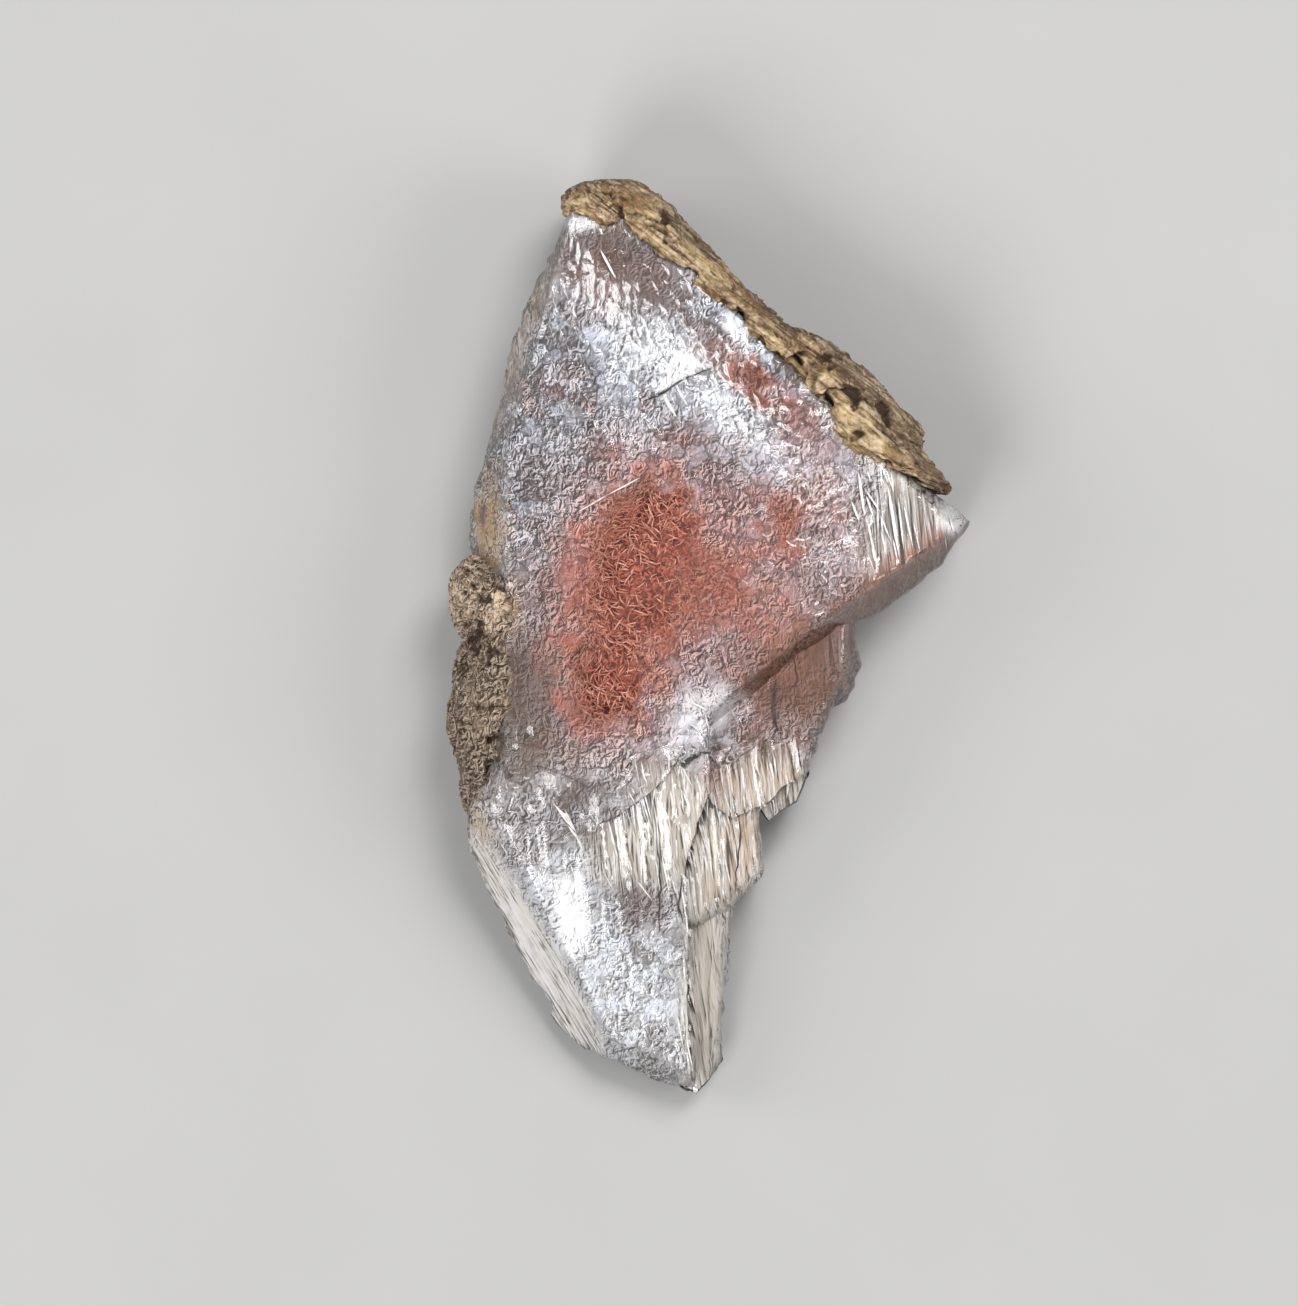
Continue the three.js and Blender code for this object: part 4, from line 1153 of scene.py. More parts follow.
def matrix_strip(stations, rows, roughness, stain, seed):
    """Closed lumpy strip. Its section runs from inside the crystal over the lip, down the outside and back
    underneath. Sections follow the stations and shrink to a point at both ends, and then the surface is moved
    along its normals."""
    rails = smooth_rows([[*inner, *outer, edge] for inner, outer, edge in stations], rows)
    inner, outer, edge = rails[:, :2], rails[:, 2:4], rails[:, 4]
    ragged = fractal(*inner.T, 0, 1.1, seed + 8, 3)[:, None]
    inner = inner + 0.22 * ragged * (outer - inner) / np.maximum(np.hypot(*(outer - inner).T), TINY)[:, None]
    brow = face_height(BLOCK["faces"], *inner.T)
    lip = brow + MATRIX_LIP
    section = []
    for across, level_from, rise in MATRIX_SECTION:
        sweep = lip + (edge - lip) * np.clip(across, 0, 1) ** MATRIX_SWEEP
        height = {"foot": MATRIX_FOOT, "brow": brow, "edge": edge, "sweep": sweep}[level_from] + rise
        section.append(np.column_stack([inner + (outer - inner) * across, height + 0 * edge]))
    section = np.stack(section, axis=1)
    loop = np.concatenate([section, section[:, :1]], axis=1)
    run = np.linspace(0, len(MATRIX_SECTION), MATRIX_COLUMNS + 1)[:-1]
    k = run.astype(int)
    t = (run - k)[None, :, None]
    ring = loop[:, k] * (1 - t) + loop[:, k + 1] * t
    for _ in range(MATRIX_EVENING):
        ring = 0.5 * ring + 0.25 * (np.roll(ring, 1, axis=1) + np.roll(ring, -1, axis=1))
    middle = ring.mean(axis=1, keepdims=True)
    s = np.linspace(0, 1, rows)
    shrink = np.sqrt(np.clip(1 - np.abs(2 * s - 1) ** 14, 0.02, 1))[:, None, None]
    ring = middle + (ring - middle) * shrink
    normal = unit(np.cross(np.gradient(ring, axis=0), np.roll(ring, -1, axis=1) - np.roll(ring, 1, axis=1)))
    outward = np.sign((normal * (ring - middle)).sum(axis=(1, 2)).mean())
    normal *= outward
    x, y, z = ring[..., 0], ring[..., 1], ring[..., 2]
    along = np.cumsum(np.concatenate([[0], np.hypot(*np.diff(outer, axis=0).T)]))[:, None] + 0 * x
    girth = np.cumsum(np.linalg.norm(np.roll(ring, -1, axis=1) - ring, axis=-1), axis=1)
    lift, hollow_shade = roughness(along, girth, x, y, z, seed)
    ring = ring + normal * lift[..., None] * np.minimum(1, shrink)
    verts = np.concatenate([ring.reshape(-1, 3), middle[0], middle[-1]])
    faces = ball_faces(rows, MATRIX_COLUMNS)
    if outward < 0:
        faces = [face[::-1] for face in faces]
    across = ((ring[..., :2] - inner[:, None]) * (outer - inner)[:, None]).sum(axis=-1)
    across = across / ((outer - inner) ** 2).sum(axis=1)[:, None]
    stained = ease(stain(across, y) + 0.25 * fractal(x, y, 0, 1.6, seed + 9, 2), 0.3, 0.6)
    # Painted shade in the hollows, and the stain towards the outer edge
    values = {"hollow_shade": hollow_shade, "outer": stained}
    return within_box(verts), faces, {key: np.append(value, [0, 0]) for key, value in values.items()}


def rind_roughness(along, girth, x, y, z, seed):
    """Splinters of two sizes that lie along the strip, grains, soft lumps and a few pits."""
    large = noise(along / 2.4, girth / 0.42, 0, 1.0, seed)
    splinters = large + 0.6 * noise(along / 1.1, girth / 0.22, 0, 1.0, seed + 1)
    near, far = cells(along + 0.2 * splinters, girth, 0.8, seed + 2)
    grains = (1 - near) * ease(far - near, 0.0, 0.3)
    lumps = fractal(x, y, z, 2.6, seed + 3, 3)
    pits = ease(fractal(x, y, z, 0.95, seed + 4, 2), 0.42, 0.75)
    lift = 0.17 * splinters + 0.14 * grains + 0.24 * lumps - 0.45 * pits
    # The lift, and painted shade deepest in the pits and between splinters
    return lift - 0.12, np.clip(0.42 - 0.42 * splinters + 0.8 * pits - 0.35 * grains, 0, 1)


def rind_stain(across, y):
    """Stained towards the outer edge, most on its wide part."""
    return across - 0.35 * ease(y, 17.0, 21.0)


def crust_stain(across, y):
    """Stained on its lower part."""
    return 1.2 * ease(-y, -1.5, 1.0) - 0.3 * ease(-y, 8.0, 11.0) + 0 * across


def crust_roughness(along, girth, x, y, z, seed):
    """Round grains of two sizes over soft lumps, with gaps between them."""
    near, _ = cells(along, girth, 0.62, seed)
    small, _ = cells(along, girth, 0.33, seed + 2)
    lumps = fractal(x, y, z, 1.8, seed + 3, 2)
    gaps = ease(fractal(x, y, z, 0.9, seed + 4, 2), 0.3, 0.7)
    lift = 0.3 * (1 - near) + 0.14 * (1 - small) + 0.25 * lumps - 0.4 * gaps
    # The lift, and painted shade at the edges of grains and in the gaps
    return lift - 0.2, np.clip(near * 0.9 + 0.6 * gaps - 0.15, 0, 1)


# Materials

WHITE = (1.0, 1.0, 1.0)


class Nodes:
    """Short calls for laying out the nodes of a material or a group."""

    def __init__(self, tree):
        self.tree = tree

    def add(self, kind, *values, **settings):
        """A node with its first sockets fed with the values, and its named sockets and settings too."""
        node = self.tree.nodes.new(kind)
        for socket, value in zip(node.inputs, values):
            self.put(socket, value)
        for key, value in settings.items():
            if key in node.inputs:
                self.put(node.inputs[key], value)
            else:
                setattr(node, key, value)
        return node

    def put(self, socket, value):
        """Feed a socket with another one, or with a number, a vector or a colour."""
        if isinstance(value, bpy.types.NodeSocket):
            self.tree.links.new(value, socket)
        elif socket.type == "RGBA":
            socket.default_value = (*value, 1)
        else:
            socket.default_value = value

    def maths(self, operation, a, b=0.0, clamp=False):
        return self.add("ShaderNodeMath", a, b, operation=operation, use_clamp=clamp).outputs[0]

    def times(self, *factors):
        return functools.reduce(lambda a, b: self.maths("MULTIPLY", a, b), factors)

    def plus(self, *terms):
        return functools.reduce(lambda a, b: self.maths("ADD", a, b), terms)

    def less(self, a, b):
        return self.maths("SUBTRACT", a, b)

    def most(self, a, b, clamp=False):
        return self.maths("MAXIMUM", a, b, clamp)

    def vector(self, operation, *values):
        return self.add("ShaderNodeVectorMath", *values, operation=operation).outputs[0]

    def mix(self, factor, a, b):
        node = self.add("ShaderNodeMix", data_type="RGBA")
        for i, value in ((0, factor), (6, a), (7, b)):
            self.put(node.inputs[i], value)
        return node.outputs[2]

    def span(self, value, low, high, to_low=0.0, to_high=1.0):
        return self.add("ShaderNodeMapRange", value, low, high, to_low, to_high).outputs[0]

    def mark(self, name):
        return self.add("ShaderNodeAttribute", attribute_name=name).outputs["Fac"]

    def place(self):
        return self.add("ShaderNodeTexCoord").outputs["Object"]

    def turned(self, where, angle):
        node = self.add("ShaderNodeVectorRotate", rotation_type="Z_AXIS", Vector=where, Angle=angle)
        return node.outputs[0]

    def cloud(self, where, size, detail, **more):
        return self.add("ShaderNodeTexNoise", Vector=where, Scale=size, Detail=detail, **more).outputs

    def bump(self, height, strength, distance):
        return self.add("ShaderNodeBump", Height=height, Strength=strength, Distance=distance).outputs[0]

    def etching(self, **inputs):
        return self.add("ShaderNodeGroup", node_tree=etching_group(), **inputs).outputs

    def surface(self, colour, roughness, **more):
        """The material's main shader. The names of more sockets have _ for their spaces."""
        sockets = {"Base Color": colour, "Roughness": roughness}
        sockets.update({key.replace("_", " "): value for key, value in more.items()})
        return self.add("ShaderNodeBsdfPrincipled", **sockets)


ETCHING_INPUTS = (
    ("Vector", "Vector", None), ("Fibre", "Float", 0.0), ("Rail", "Float", 0.0), ("Size", "Float", 1450.0),
)
ETCHING_OUTPUTS = ("Field", "PaintedLight", "Lace", "Mottle", "Scale", "Patch", "Seam")
# Step down the light between the two fields whose difference is the painted light and shade, in metres
ETCHING_STEP = (0.00005, -0.000042, 0.0)
# How far the seams between scales wander, in metres
SCALE_STRAY = (0.0016, 0.0016, 0.0)


def etching_group():
    """Etched gypsum, as if lit from the upper left. The group is made once.

    Field is short wandering squiggles or, where Fibre is 1, long threads up the blade, or along its rails
    where Rail is 1. PaintedLight is Field less itself a little way down the light, stronger in some places:
    painted light and shade that give ridges a light side and a dark one. Lace is thin lines where Field is
    near its middle value. Mottle is wide and soft. Scale and Patch are random numbers for each scale of the
    surface. Seam is 1 where two scales meet.
    """
    tree = bpy.data.node_groups.get("etching")
    if tree is not None:
        return tree
    tree = bpy.data.node_groups.new("etching", "ShaderNodeTree")
    for key, kind, value in ETCHING_INPUTS:
        socket = tree.interface.new_socket(key, in_out="INPUT", socket_type="NodeSocket" + kind)
        if value is not None:
            socket.default_value = value
    for key in ETCHING_OUTPUTS:
        tree.interface.new_socket(key, in_out="OUTPUT", socket_type="NodeSocketFloat")
    n = Nodes(tree)
    given, result = n.add("NodeGroupInput").outputs, n.add("NodeGroupOutput").inputs
    place, fibre, rail, size = (given[key] for key, *_ in ETCHING_INPUTS)

    def drawn(where, lean, along, scale, detail, distortion):
        """Noise whose features are turned by a lean and drawn out as along gets smaller."""
        stretched = n.vector("MULTIPLY", n.turned(where, lean), (1.0, along, 0.6))
        return n.cloud(stretched, n.times(size, scale), detail, Roughness=0.6, Distortion=distortion)[0]

    def field(where):
        """Squiggles, threads and rails, as the marks choose between them."""
        squiggle = drawn(where, -0.3, 0.8, 1.35, 3.0, 1.2)
        upright = drawn(where, -0.1, 0.07, 1.25, 2.6, 0.4)
        railed = drawn(where, -0.54, 0.015, 2.6, 2.4, 0.0)
        threads = n.plus(n.times(upright, n.less(1.0, rail)), n.times(railed, rail))
        return n.plus(n.times(squiggle, n.less(1.0, fibre)), n.times(threads, fibre))

    here, beside = field(place), field(n.vector("ADD", place, ETCHING_STEP))
    n.put(result["Field"], here)
    n.put(result["Lace"], n.span(n.maths("ABSOLUTE", n.less(here, 0.52)), 0.006, 0.05, 1.0, 0.0))
    strength = n.span(drawn(place, 0.6, 0.8, 0.5, 1.0, 0.5), 0.35, 0.65, 12.0, 42.0)
    n.put(result["PaintedLight"], n.times(n.less(here, beside), strength))
    n.put(result["Mottle"], n.span(drawn(place, -0.5, 0.7, 0.3, 3.0, 0.5), 0.32, 0.68))
    stray = n.cloud(place, n.times(size, 0.9), 2.0)["Color"]
    warped = n.vector("MULTIPLY_ADD", stray, SCALE_STRAY, place)
    scales = {"voronoi_dimensions": "2D", "Vector": warped, "Scale": n.times(size, 0.55)}
    number = n.add("ShaderNodeTexVoronoi", feature="SMOOTH_F1", Smoothness=0.2, **scales).outputs["Color"]
    parts = n.add("ShaderNodeSeparateColor", Color=number).outputs
    n.put(result["Scale"], parts["Red"])
    n.put(result["Patch"], parts["Green"])
    seam = n.add("ShaderNodeTexVoronoi", feature="DISTANCE_TO_EDGE", **scales).outputs["Distance"]
    n.put(result["Seam"], n.span(seam, 0.02, 0.12, 1.0, 0.0))
    return tree


def new_material(name):
    """A material without nodes, and the calls that lay them out."""
    material = bpy.data.materials.new(name)
    material.use_nodes = True
    material.node_tree.nodes.clear()
    return material, Nodes(material.node_tree)


def finished(material, n, shader, volume=None):
    """The material, with its shader and its volume on its output."""
    out = n.add("ShaderNodeOutputMaterial", Surface=shader.outputs[0])
    if volume is not None:
        n.put(out.inputs["Volume"], volume.outputs[0])
    return material


def selenite_material(smoke_colour, smoke_density):
    """Clear gypsum: glass with etched squiggles and threads in its surface, and a faint smoky tint by depth.
    Shadow rays pass it."""
    material, n = new_material("selenite_clear")
    etch, fibre = n.mark("etch"), n.mark("fibre")
    etched = n.etching(Vector=n.place(), Fibre=fibre, Rail=n.mark("rail"))
    relief = n.times(etched["Field"], n.most(etch, n.times(fibre, 0.3)))
    rough = n.span(etched["Mottle"], 0.0, 1.0, 0.04, 0.09)
    bump = n.bump(relief, 0.2, 0.0003)
    glass = n.surface((0.98, 0.975, 0.97), rough, IOR=1.52, Transmission_Weight=1.0, Normal=bump)
    clear = n.add("ShaderNodeBsdfTransparent", Color=(0.97, 0.96, 0.95))
    shadow = n.add("ShaderNodeLightPath").outputs["Is Shadow Ray"]
    both = n.add("ShaderNodeMixShader", shadow, glass.outputs[0], clear.outputs[0])
    smoke = n.add("ShaderNodeVolumeAbsorption", Color=smoke_colour, Density=smoke_density)
    return finished(material, n, both, smoke)


VEIL_MARKS = ("tone", "glint", "smoke", "blush", "ochre", "fibre", "rail", "window", "open", "calm", "warm")


def veil_material(cover):
    """Cleavage veil: light squiggles and threads on grey, mauve, smoky or ochre mottling, thinner where the
    crystal is clear. It carries painted glare and glints, and painted light and shade on its etching as if
    lit from the upper left. Some light passes it to the copper."""
    material, n = new_material("veil")
    tone, glint, smoke, blush, ochre, fibre, rail, window, hole, calm, warm = map(n.mark, VEIL_MARKS)
    etched = n.etching(Vector=n.place(), Fibre=fibre, Rail=rail)
    mottle, patch = etched["Mottle"], etched["Patch"]
    pearl_highlight = (0.92, 0.92, 0.96)

    # Colour of the sheet itself, with the painted glare that the tone carries and the painted glints
    scaly = n.times(n.less(1.0, fibre), n.span(calm, 0.0, 1.0, 1.0, 0.3))
    scales = n.times(n.span(etched["Scale"], 0.2, 0.8, -0.25, 0.35), scaly)
    tone = n.maths("ADD", tone, n.plus(n.span(mottle, 0.0, 1.0, -0.09, 0.09), scales), clamp=True)
    rusty = n.times(n.span(patch, 0.62, 0.85, 0.0, 0.5), scaly, n.less(1.0, warm))
    blush = n.most(blush, n.times(rusty, n.span(tone, 0.0, 0.6, 1.0, 0.0)))
    plain = n.mix(tone, (0.085, 0.078, 0.088), (0.67, 0.735, 0.87))
    cream = n.mix(tone, (0.16, 0.127, 0.096), n.mix(rail, (0.76, 0.69, 0.58), (1.0, 0.96, 0.88)))
    base = n.mix(n.most(fibre, n.times(warm, n.span(tone, 0.0, 1.0, 0.7, 0.2))), plain, cream)
    base = n.mix(n.times(blush, n.less(1.0, n.times(tone, 0.6)), 0.95), base, (0.26, 0.085, 0.07))
    base = n.mix(n.times(ochre, 0.93), base, (0.55, 0.32, 0.10))
    dusk = n.mix(ochre, (0.055, 0.030, 0.018), (0.11, 0.06, 0.025))
    dusk = n.mix(n.times(blush, 0.7), dusk, (0.12, 0.042, 0.026))
    thick = n.times(n.span(mottle, 0.2, 1.0, 1.0, 0.85), n.span(patch, 0.3, 0.8, 1.0, 0.88))
    base = n.mix(n.times(n.span(smoke, 0.0, 0.8, 0.0, 0.98), thick), base, dusk)
    base = n.mix(n.times(window, 0.92), base, (0.43, 0.115, 0.072))
    # Painted glints: bluish white, warm white on the rails
    base = n.mix(glint, base, n.mix(rail, (0.95, 0.96, 1.0), (1.0, 0.98, 0.95)))

    # Painted highlights: the light sides of the etching, as if lit from the upper left, and its thin light
    # lines
    raised = n.span(etched["Field"], 0.50, 0.58)
    grain = n.mix(scaly, WHITE, n.span(patch, 0.25, 0.6, 0.3, 1.1))
    relief = n.times(etched["PaintedLight"], n.span(calm, 0.0, 1.0, 1.0, 0.3), n.span(fibre, 0.0, 1.0, 1.0, 0.65))
    relief = n.times(relief, grain, n.plus(rail, 1.0))
    dry = n.times(n.span(smoke, 0.0, 0.8, 1.0, 0.3), n.span(calm, 0.0, 1.0, 1.0, 0.4))
    dry = n.times(dry, n.span(ochre, 0.4, 1.0, 1.0, 0.4))
    # Colour of the painted highlights: pearl, pink where blushed, salmon over the wires
    tint = n.mix(n.times(blush, 0.8), pearl_highlight, (0.78, 0.40, 0.32))
    tint = n.mix(n.times(window, 0.9), n.mix(0.78, base, tint), (0.80, 0.37, 0.26))
    colour = n.mix(n.times(raised, dry, 0.16), base, tint)
    colour = n.mix(n.times(n.most(relief, 0.0, clamp=True), dry, 0.85), colour, tint)
    lace = n.times(etched["Lace"], n.span(mottle, 0.0, 1.0, 0.1, 0.55), dry, grain)
    lace = n.times(lace, n.span(window, 0.0, 1.0, 1.0, 0.7))
    colour = n.mix(lace, colour, n.mix(n.span(window, 0.0, 0.5, 0.5, 0.05), tint, pearl_highlight))

    # Painted shade on the dark sides of the etching, and the darker seams between scales
    shade = n.maths("MULTIPLY", relief, n.span(glint, 0.0, 1.0, -1.0, -0.25), clamp=True)
    shade = n.most(shade, n.times(etched["Seam"], scaly, dry, n.span(glint, 0.0, 1.0, 0.7, 0.1)))
    colour = n.mix(shade, colour, n.mix(0.12, (0.015, 0.011, 0.012), base))

    # Cover: open over the wires, and thinner for the light that falls on them
    covers = ((window, 0.3), (raised, 0.2), (blush, 0.3), (smoke, 0.6), (ochre, 0.5))
    alpha = n.plus(n.span(tone, 0.0, 1.0, cover, 0.95), *(n.times(*pair) for pair in covers))
    alpha = n.times(n.maths("MINIMUM", alpha, 1.0), n.span(hole, 0.2, 0.92, 1.0, 0.0))
    shadow = n.add("ShaderNodeLightPath").outputs["Is Shadow Ray"]
    lit = n.times(shadow, n.span(n.most(window, blush), 0.1, 0.6, 0.0, 0.85))
    return finished(material, n, n.surface(colour, 0.45, Alpha=n.times(alpha, n.less(1.0, lit))))


def wire_material():
    """Copper wire: dark red to bright salmon, each wire its own shade: a random tone, with painted light and
    shade by depth.
    """
    material, n = new_material("copper_wire")
    colour = n.mix(n.mark("shade"), (0.56, 0.12, 0.065), (1.0, 0.54, 0.41))
    return finished(material, n, n.surface(colour, 0.45, Metallic=0.15))


def needle_material():
    """Pearly white selenite needle, streaked along its length."""
    material, n = new_material("selenite_needle")
    streak = n.cloud(n.place(), 2600.0, 2.0)[0]
    colour = n.mix(n.span(streak, 0.3, 0.55), (0.62, 0.60, 0.58), (0.96, 0.95, 0.93))
    return finished(material, n, n.surface(colour, 0.3))


def core_material():
    """Matted copper deep in a felt: dark red-brown with brighter flecks."""
    material, n = new_material("copper_core")
    fleck = n.cloud(n.place(), 3200.0, 3.0, Distortion=1.0)[0]
    colour = n.mix(n.span(fleck, 0.42, 0.66), (0.12, 0.024, 0.016), (0.62, 0.17, 0.10))
    return finished(material, n, n.surface(colour, 0.6, Normal=n.bump(fleck, 0.6, 0.0002)))


# Lean of a matrix's streaks in radians, how streaked it is, the scale of its grains, and its dark, middle and
# light colours and that of its stained edge
MATRIX_FINISHES = {
    "matrix_ochre": (
        -0.82, 0.8, 900.0,
        (0.035, 0.017, 0.008), (0.19, 0.10, 0.042), (0.60, 0.43, 0.22), (0.105, 0.066, 0.048),
    ),
    "matrix_brown": (
        0.1, 0.1, 1300.0,
        (0.035, 0.019, 0.011), (0.15, 0.089, 0.054), (0.60, 0.44, 0.31), (0.062, 0.040, 0.027),
    ),
}


def matrix_material(name):
    """Earthy matrix: middle and light colours in mottles, streaks along its length, dark between grains,
    stained towards its outer edge. Painted shade darkens its hollows, thin light lines are painted
    highlights, and its etching has a painted light side and a painted dark side."""
    lean, streak, size, dark, middle, light, edge = MATRIX_FINISHES[name]
    material, n = new_material(name)
    place, outer = n.place(), n.mark("outer")
    etched = n.etching(Vector=n.turned(place, lean), Fibre=streak, Size=size)
    speck = n.cloud(place, 1900.0, 4.0, Roughness=0.65)[0]
    grain = n.times(n.span(etched["Scale"], 0.3, 0.75), 1.0 - streak)
    base = n.mix(n.most(n.span(etched["Mottle"], 0.3, 1.0), n.times(grain, 0.85)), middle, light)
    gap = n.most(etched["Seam"], n.span(etched["Patch"], 0.38, 0.28))
    base = n.mix(n.times(gap, 0.85 * (1.0 - streak)), base, dark)
    base = n.mix(n.times(outer, n.span(speck, 0.3, 0.7, 0.5, 1.0)), base, edge)
    fresh = n.span(outer, 0.0, 1.0, 1.0, 0.4)
    base = n.mix(n.times(n.span(speck, 0.55, 0.68, 0.0, 0.6), fresh), base, light)
    base = n.mix(n.span(speck, 0.46, 0.36, 0.0, 0.7), base, dark)
    # Painted highlights: thin light lines, fewer on the stained edge
    lace = n.times(etched["Lace"], n.span(speck, 0.4, 0.6, 0.1, 0.6), fresh)
    base = n.mix(lace, base, n.mix(0.5, light, (0.85, 0.75, 0.61)))
    # Painted light and shade from the etching, as if lit from one side
    raised = n.times(n.most(etched["PaintedLight"], 0.0, clamp=True), 0.4)
    colour = n.mix(raised, base, n.mix(0.5, light, (0.86, 0.76, 0.60)))
    colour = n.mix(n.maths("MULTIPLY", etched["PaintedLight"], -0.5, clamp=True), colour, dark)
    # Painted shade in the hollows
    colour = n.mix(n.span(n.mark("hollow_shade"), 0.4, 0.85, 0.0, 0.9), colour, dark)
    bump = n.bump(n.plus(n.times(etched["Field"], 1.2), speck), 0.6, 0.0003)
    rough = n.span(speck, 0.3, 0.7, 0.65, 0.95)
    return finished(material, n, n.surface(colour, rough, Specular_IOR_Level=0.3, Normal=bump))


def crack_material():
    """Shadow in a hairline crack, a little uneven along it."""
    material, n = new_material("crack_shadow")
    uneven = n.cloud(n.place(), 1500.0, 2.0)[0]
    colour = n.mix(n.span(uneven, 0.35, 0.65), (0.02, 0.015, 0.015), (0.07, 0.055, 0.05))
    return finished(material, n, n.surface(colour, 0.8))


def table_material(colour):
    """Plain pale table, very slightly mottled."""
    material, n = new_material("table")
    grain = n.cloud(n.place(), 60.0, 4.0)[0]
    tone = n.mix(n.span(grain, 0.3, 0.7), [0.97 * c for c in colour], colour)
    return finished(material, n, n.surface(tone, 0.6))


# Settings and operators


class SpecimenSettings(bpy.types.PropertyGroup):
    cell: FloatProperty(
        name="Surface cell", description="Grid cell of the crystal's front, mm", default=0.2, min=0.1
    )
    smoke_density: FloatProperty(
        name="Smoke", description="How fast the crystal darkens with depth", default=190.0
    )
    smoke_colour: FloatVectorProperty(
        name="Smoke colour", description="Tint of the crystal", default=(0.72, 0.68, 0.66), subtype="COLOR"
    )
    wire_radius: FloatProperty(
        name="Wire radius", description="Radius of a thick copper wire, mm", default=0.066
    )
    floor_colour: FloatVectorProperty(
        name="Table colour", description="Colour of the table", default=(0.40, 0.395, 0.385), subtype="COLOR"
    )
    key_power: FloatProperty(
        name="Key light", description="Watts of the light above the top edge", default=2.35
    )
    low_power: FloatProperty(name="Low light", description="Watts of the light below the tip", default=2.1)
    side_power: FloatProperty(name="Side lights", description="Watts of each side light", default=1.05)
    world_light: FloatProperty(
        name="Room light", description="Strength of the even light round the table", default=0.22
    )


class SPECIMEN_OT_selenite(bpy.types.Operator):
    """Build the clear blade: eight cleavage plates and their ledge lumps, joined into one piece"""

    bl_idname = "specimen.selenite"
    bl_label = "Clear crystal"

    def execute(self, context):
        settings = context.scene.specimen
        parts = []
        for i, (name, (plate, relief, base, *_)) in enumerate(PLATES.items()):
            seed = SEEDS["plate"] + PLATE_SEED_STEP * i
            surface = plate_surface(plate, relief, base, settings.cell, seed)
            parts.append(make_piece("plate_" + name, *surface))
        for i, lump in enumerate(LUMPS):
            parts.append(make_piece(f"lump_{i}", *lump_surface(*lump, SEEDS["lump"] + i)))
        piece = union("selenite", parts)
        add_values(piece.data, marks(*mesh_points(piece.data)[:, :2].T))
        piece.data.materials.append(selenite_material(settings.smoke_colour, settings.smoke_density))
        shade_smooth(piece, PLATE_SHARP)
        settle(piece, "selenite", "selenite_front", "selenite_back")
        return {"FINISHED"}


class SPECIMEN_OT_veils(bpy.types.Operator):
    """Build the cleavage veils, the needles and the painted shadows in the hairline cracks inside the crystal
    """

    bl_idname = "specimen.veils"
    bl_label = "Inner veils"

    def execute(self, context):
        material = veil_material(VEIL_COVER)
        for i, (name, (plate, relief, _, depth, inset, foot)) in enumerate(PLATES.items()):
            seed = SEEDS["plate"] + PLATE_SEED_STEP * i
            verts, faces = plate_surface(plate, relief, foot, VEIL_CELL, seed, inset, depth, VEIL_FRAY)
            x, y, z = verts.T
            values = marks(x, y)
            wall = ease(face_height(plate["faces"], x, y) - z, *VEIL_WALL)
            values["tone"] = np.maximum(values["tone"], WALL_TONE * wall)
            values["window"] *= 1 - wall
            values["open"] *= 1 - wall
            piece = make_piece("veil_" + name, verts, faces, material, values)
            shade_smooth(piece, VEIL_SHARP)
            settle(piece, "selenite")
        settle(make_piece("needles", *needles(SEEDS["needle"]), needle_material()), "selenite")
        # The cracks are dark ribbons of painted shadow
        settle(make_piece("cracks", *cracks(SEEDS["crack"]), crack_material()), "selenite")
        return {"FINISHED"}


class SPECIMEN_OT_copper(bpy.types.Operator):
    """Build the copper wires of each felt and the matted copper under them"""

    bl_idname = "specimen.copper"
    bl_label = "Copper wires"

    def execute(self, context):
        wire, core = wire_material(), core_material()
        radius = context.scene.specimen.wire_radius
        for i, (node, swellings) in enumerate(FELTS.items()):
            count = int(areas(swellings).sum() * WIRE_DENSITY[node])
            verts, faces, shade = wires(swellings, count, radius, SEEDS["wire"] + i)
            piece = make_piece(node.replace("felt", "wires"), verts, faces, wire, {"shade": shade})
            shade_smooth(piece)
            settle(piece, "copper", node)
            mat = make_piece(node.replace("felt", "mat"), *felt_core(swellings), core)
            shade_smooth(mat)
            settle(mat, "copper")
        return {"FINISHED"}


class SPECIMEN_OT_matrix(bpy.types.Operator):
    """Build the stained rind along the top right edge and the granular crust on the left one"""

    bl_idname = "specimen.matrix"
    bl_label = "Matrix"

    def execute(self, context):
        for name, slot, stations, rows, roughness, stain in (
            ("rind", "matrix_ochre", RIND_STATIONS, 340, rind_roughness, rind_stain),
            ("crust", "matrix_brown", CRUST_STATIONS, 220, crust_roughness, crust_stain),
        ):
            verts, faces, values = matrix_strip(stations, rows, roughness, stain, SEEDS["matrix"])
            piece = make_piece(name, verts, faces, matrix_material(slot), values)
            shade_smooth(piece)
            settle(piece, slot, "matrix_" + name)
        return {"FINISHED"}


# Half the table's width in mm, and the colour of the room's even light
TABLE_HALF = 900
ROOM_COLOUR = (0.92, 0.95, 1.0, 1)


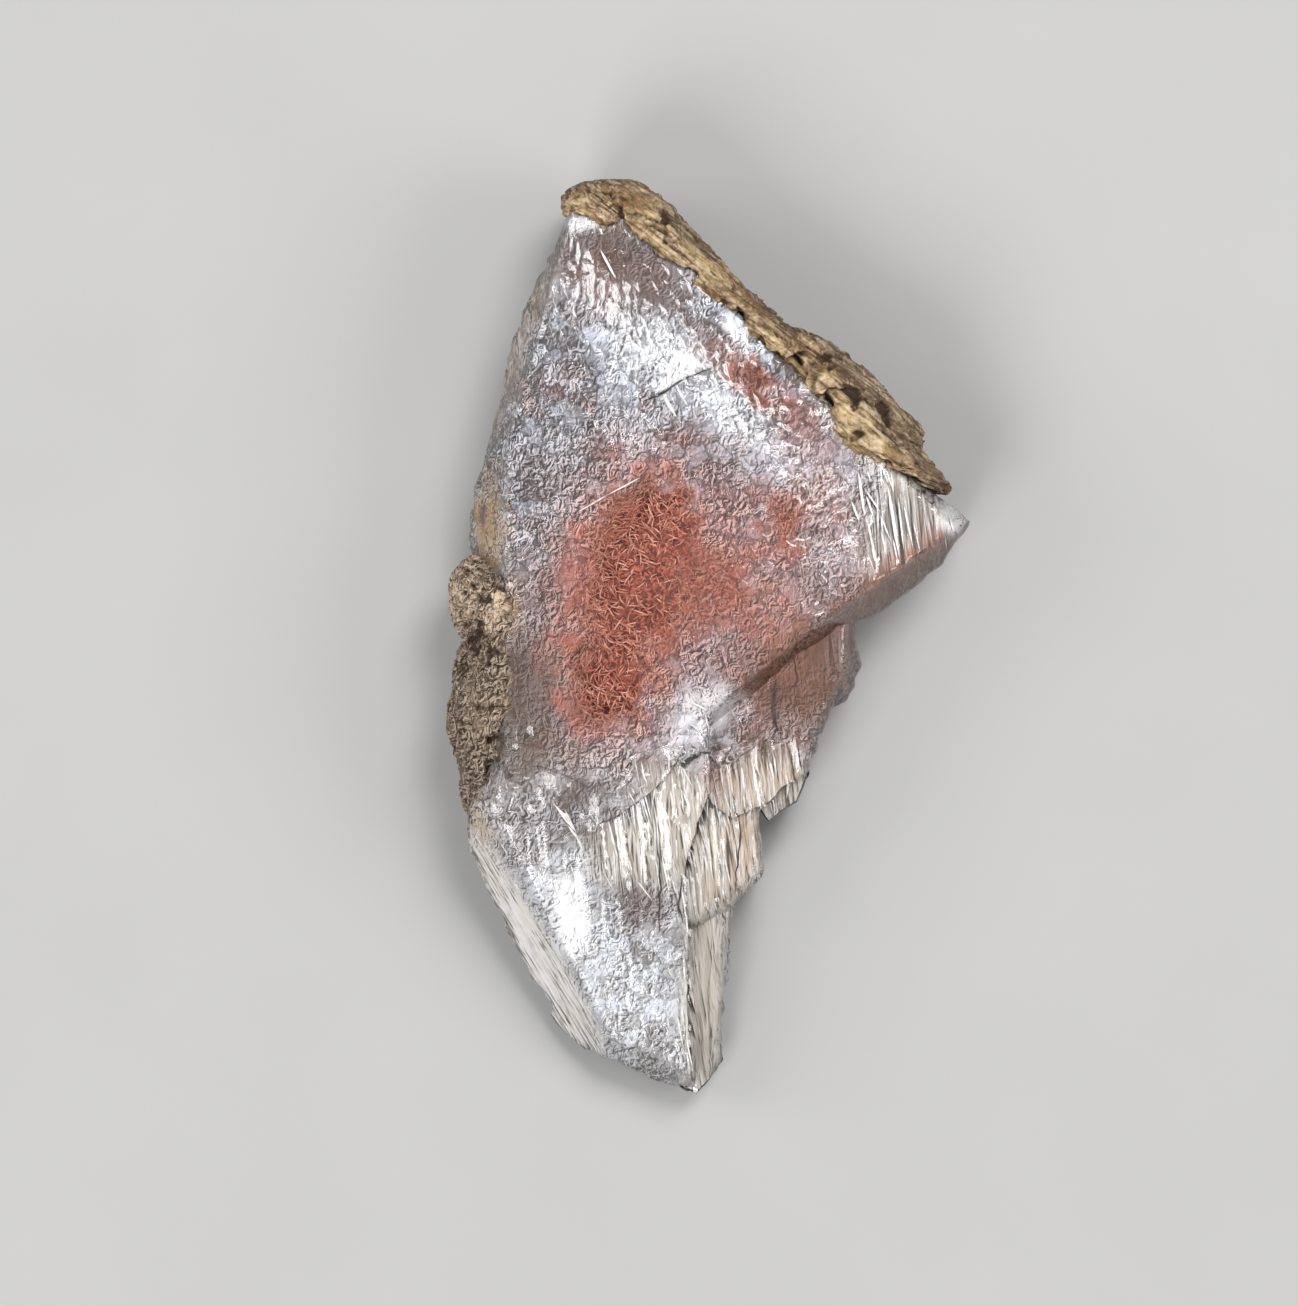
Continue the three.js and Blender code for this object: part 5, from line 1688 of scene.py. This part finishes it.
class SPECIMEN_OT_stage(bpy.types.Operator):
    """Lay out the table, the lights and the camera that looks straight down"""

    bl_idname = "specimen.stage"
    bl_label = "Stage"

    def execute(self, context):
        scene, settings = context.scene, context.scene.specimen
        corners = [(x * TABLE_HALF, y * TABLE_HALF, 0) for x, y in ((-1, -1), (1, -1), (1, 1), (-1, 1))]
        make_piece("table", corners, [(0, 1, 2, 3)], table_material(settings.floor_colour))
        for name, where, size, power in (
            ("key", (0.15, 0.27, 0.50), 0.22, settings.key_power),
            ("low", (-0.24, -0.33, 0.42), 0.26, settings.low_power),
            ("left", (-0.44, 0.12, 0.32), 0.26, settings.side_power),
            ("right", (0.42, -0.04, 0.34), 0.24, settings.side_power),
        ):
            light = bpy.data.lights.new(name, "AREA")
            light.size, light.energy = size, power
            lamp = new_object(name, light)
            lamp.location = where
            lamp.rotation_euler = (-Vector(where)).to_track_quat("-Z", "Y").to_euler()
        scene.world = bpy.data.worlds.new("room")
        scene.world.use_nodes = True
        sky = scene.world.node_tree.nodes["Background"].inputs
        sky["Color"].default_value, sky["Strength"].default_value = ROOM_COLOUR, settings.world_light
        camera = bpy.data.cameras.new("camera")
        camera.lens = camera.sensor_width * CAMERA_HEIGHT / (FRAME_PIXELS[1] * MM_PER_PIXEL * MM)
        eye = new_object("camera", camera)
        x, y = ((size / 2 - origin) * MM_PER_PIXEL * MM for size, origin in zip(FRAME_PIXELS, ORIGIN_PIXEL))
        eye.location = (x, -y, CAMERA_HEIGHT + FOCUS_HEIGHT)
        scene.camera = eye
        scene.view_settings.view_transform = "Standard"
        scene.cycles.caustics_reflective = False
        scene.cycles.caustics_refractive = False
        scene.cycles.transparent_max_bounces = 32
        scene.cycles.max_bounces = 14
        scene.cycles.transmission_bounces = 12
        return {"FINISHED"}


OPERATORS = (
    SPECIMEN_OT_selenite, SPECIMEN_OT_veils, SPECIMEN_OT_copper, SPECIMEN_OT_matrix, SPECIMEN_OT_stage,
)


class SPECIMEN_PT_panel(bpy.types.Panel):
    bl_idname = "SPECIMEN_PT_panel"
    bl_label = "Native copper in selenite"
    bl_space_type = "VIEW_3D"
    bl_region_type = "UI"
    bl_category = "Specimen"

    def draw(self, context):
        for key in SpecimenSettings.__annotations__:
            self.layout.prop(context.scene.specimen, key)
        for operator in OPERATORS:
            self.layout.operator(operator.bl_idname)


CLASSES = (SpecimenSettings, *OPERATORS, SPECIMEN_PT_panel)


def register():
    for cls in CLASSES:
        bpy.utils.register_class(cls)
    bpy.types.Scene.specimen = PointerProperty(type=SpecimenSettings)


def unregister():
    del bpy.types.Scene.specimen
    for cls in reversed(CLASSES):
        bpy.utils.unregister_class(cls)


def main():
    register()
    bpy.ops.specimen.selenite()
    bpy.ops.specimen.veils()
    bpy.ops.specimen.copper()
    bpy.ops.specimen.matrix()
    bpy.ops.specimen.stage()


if __name__ == "__main__":
    main()
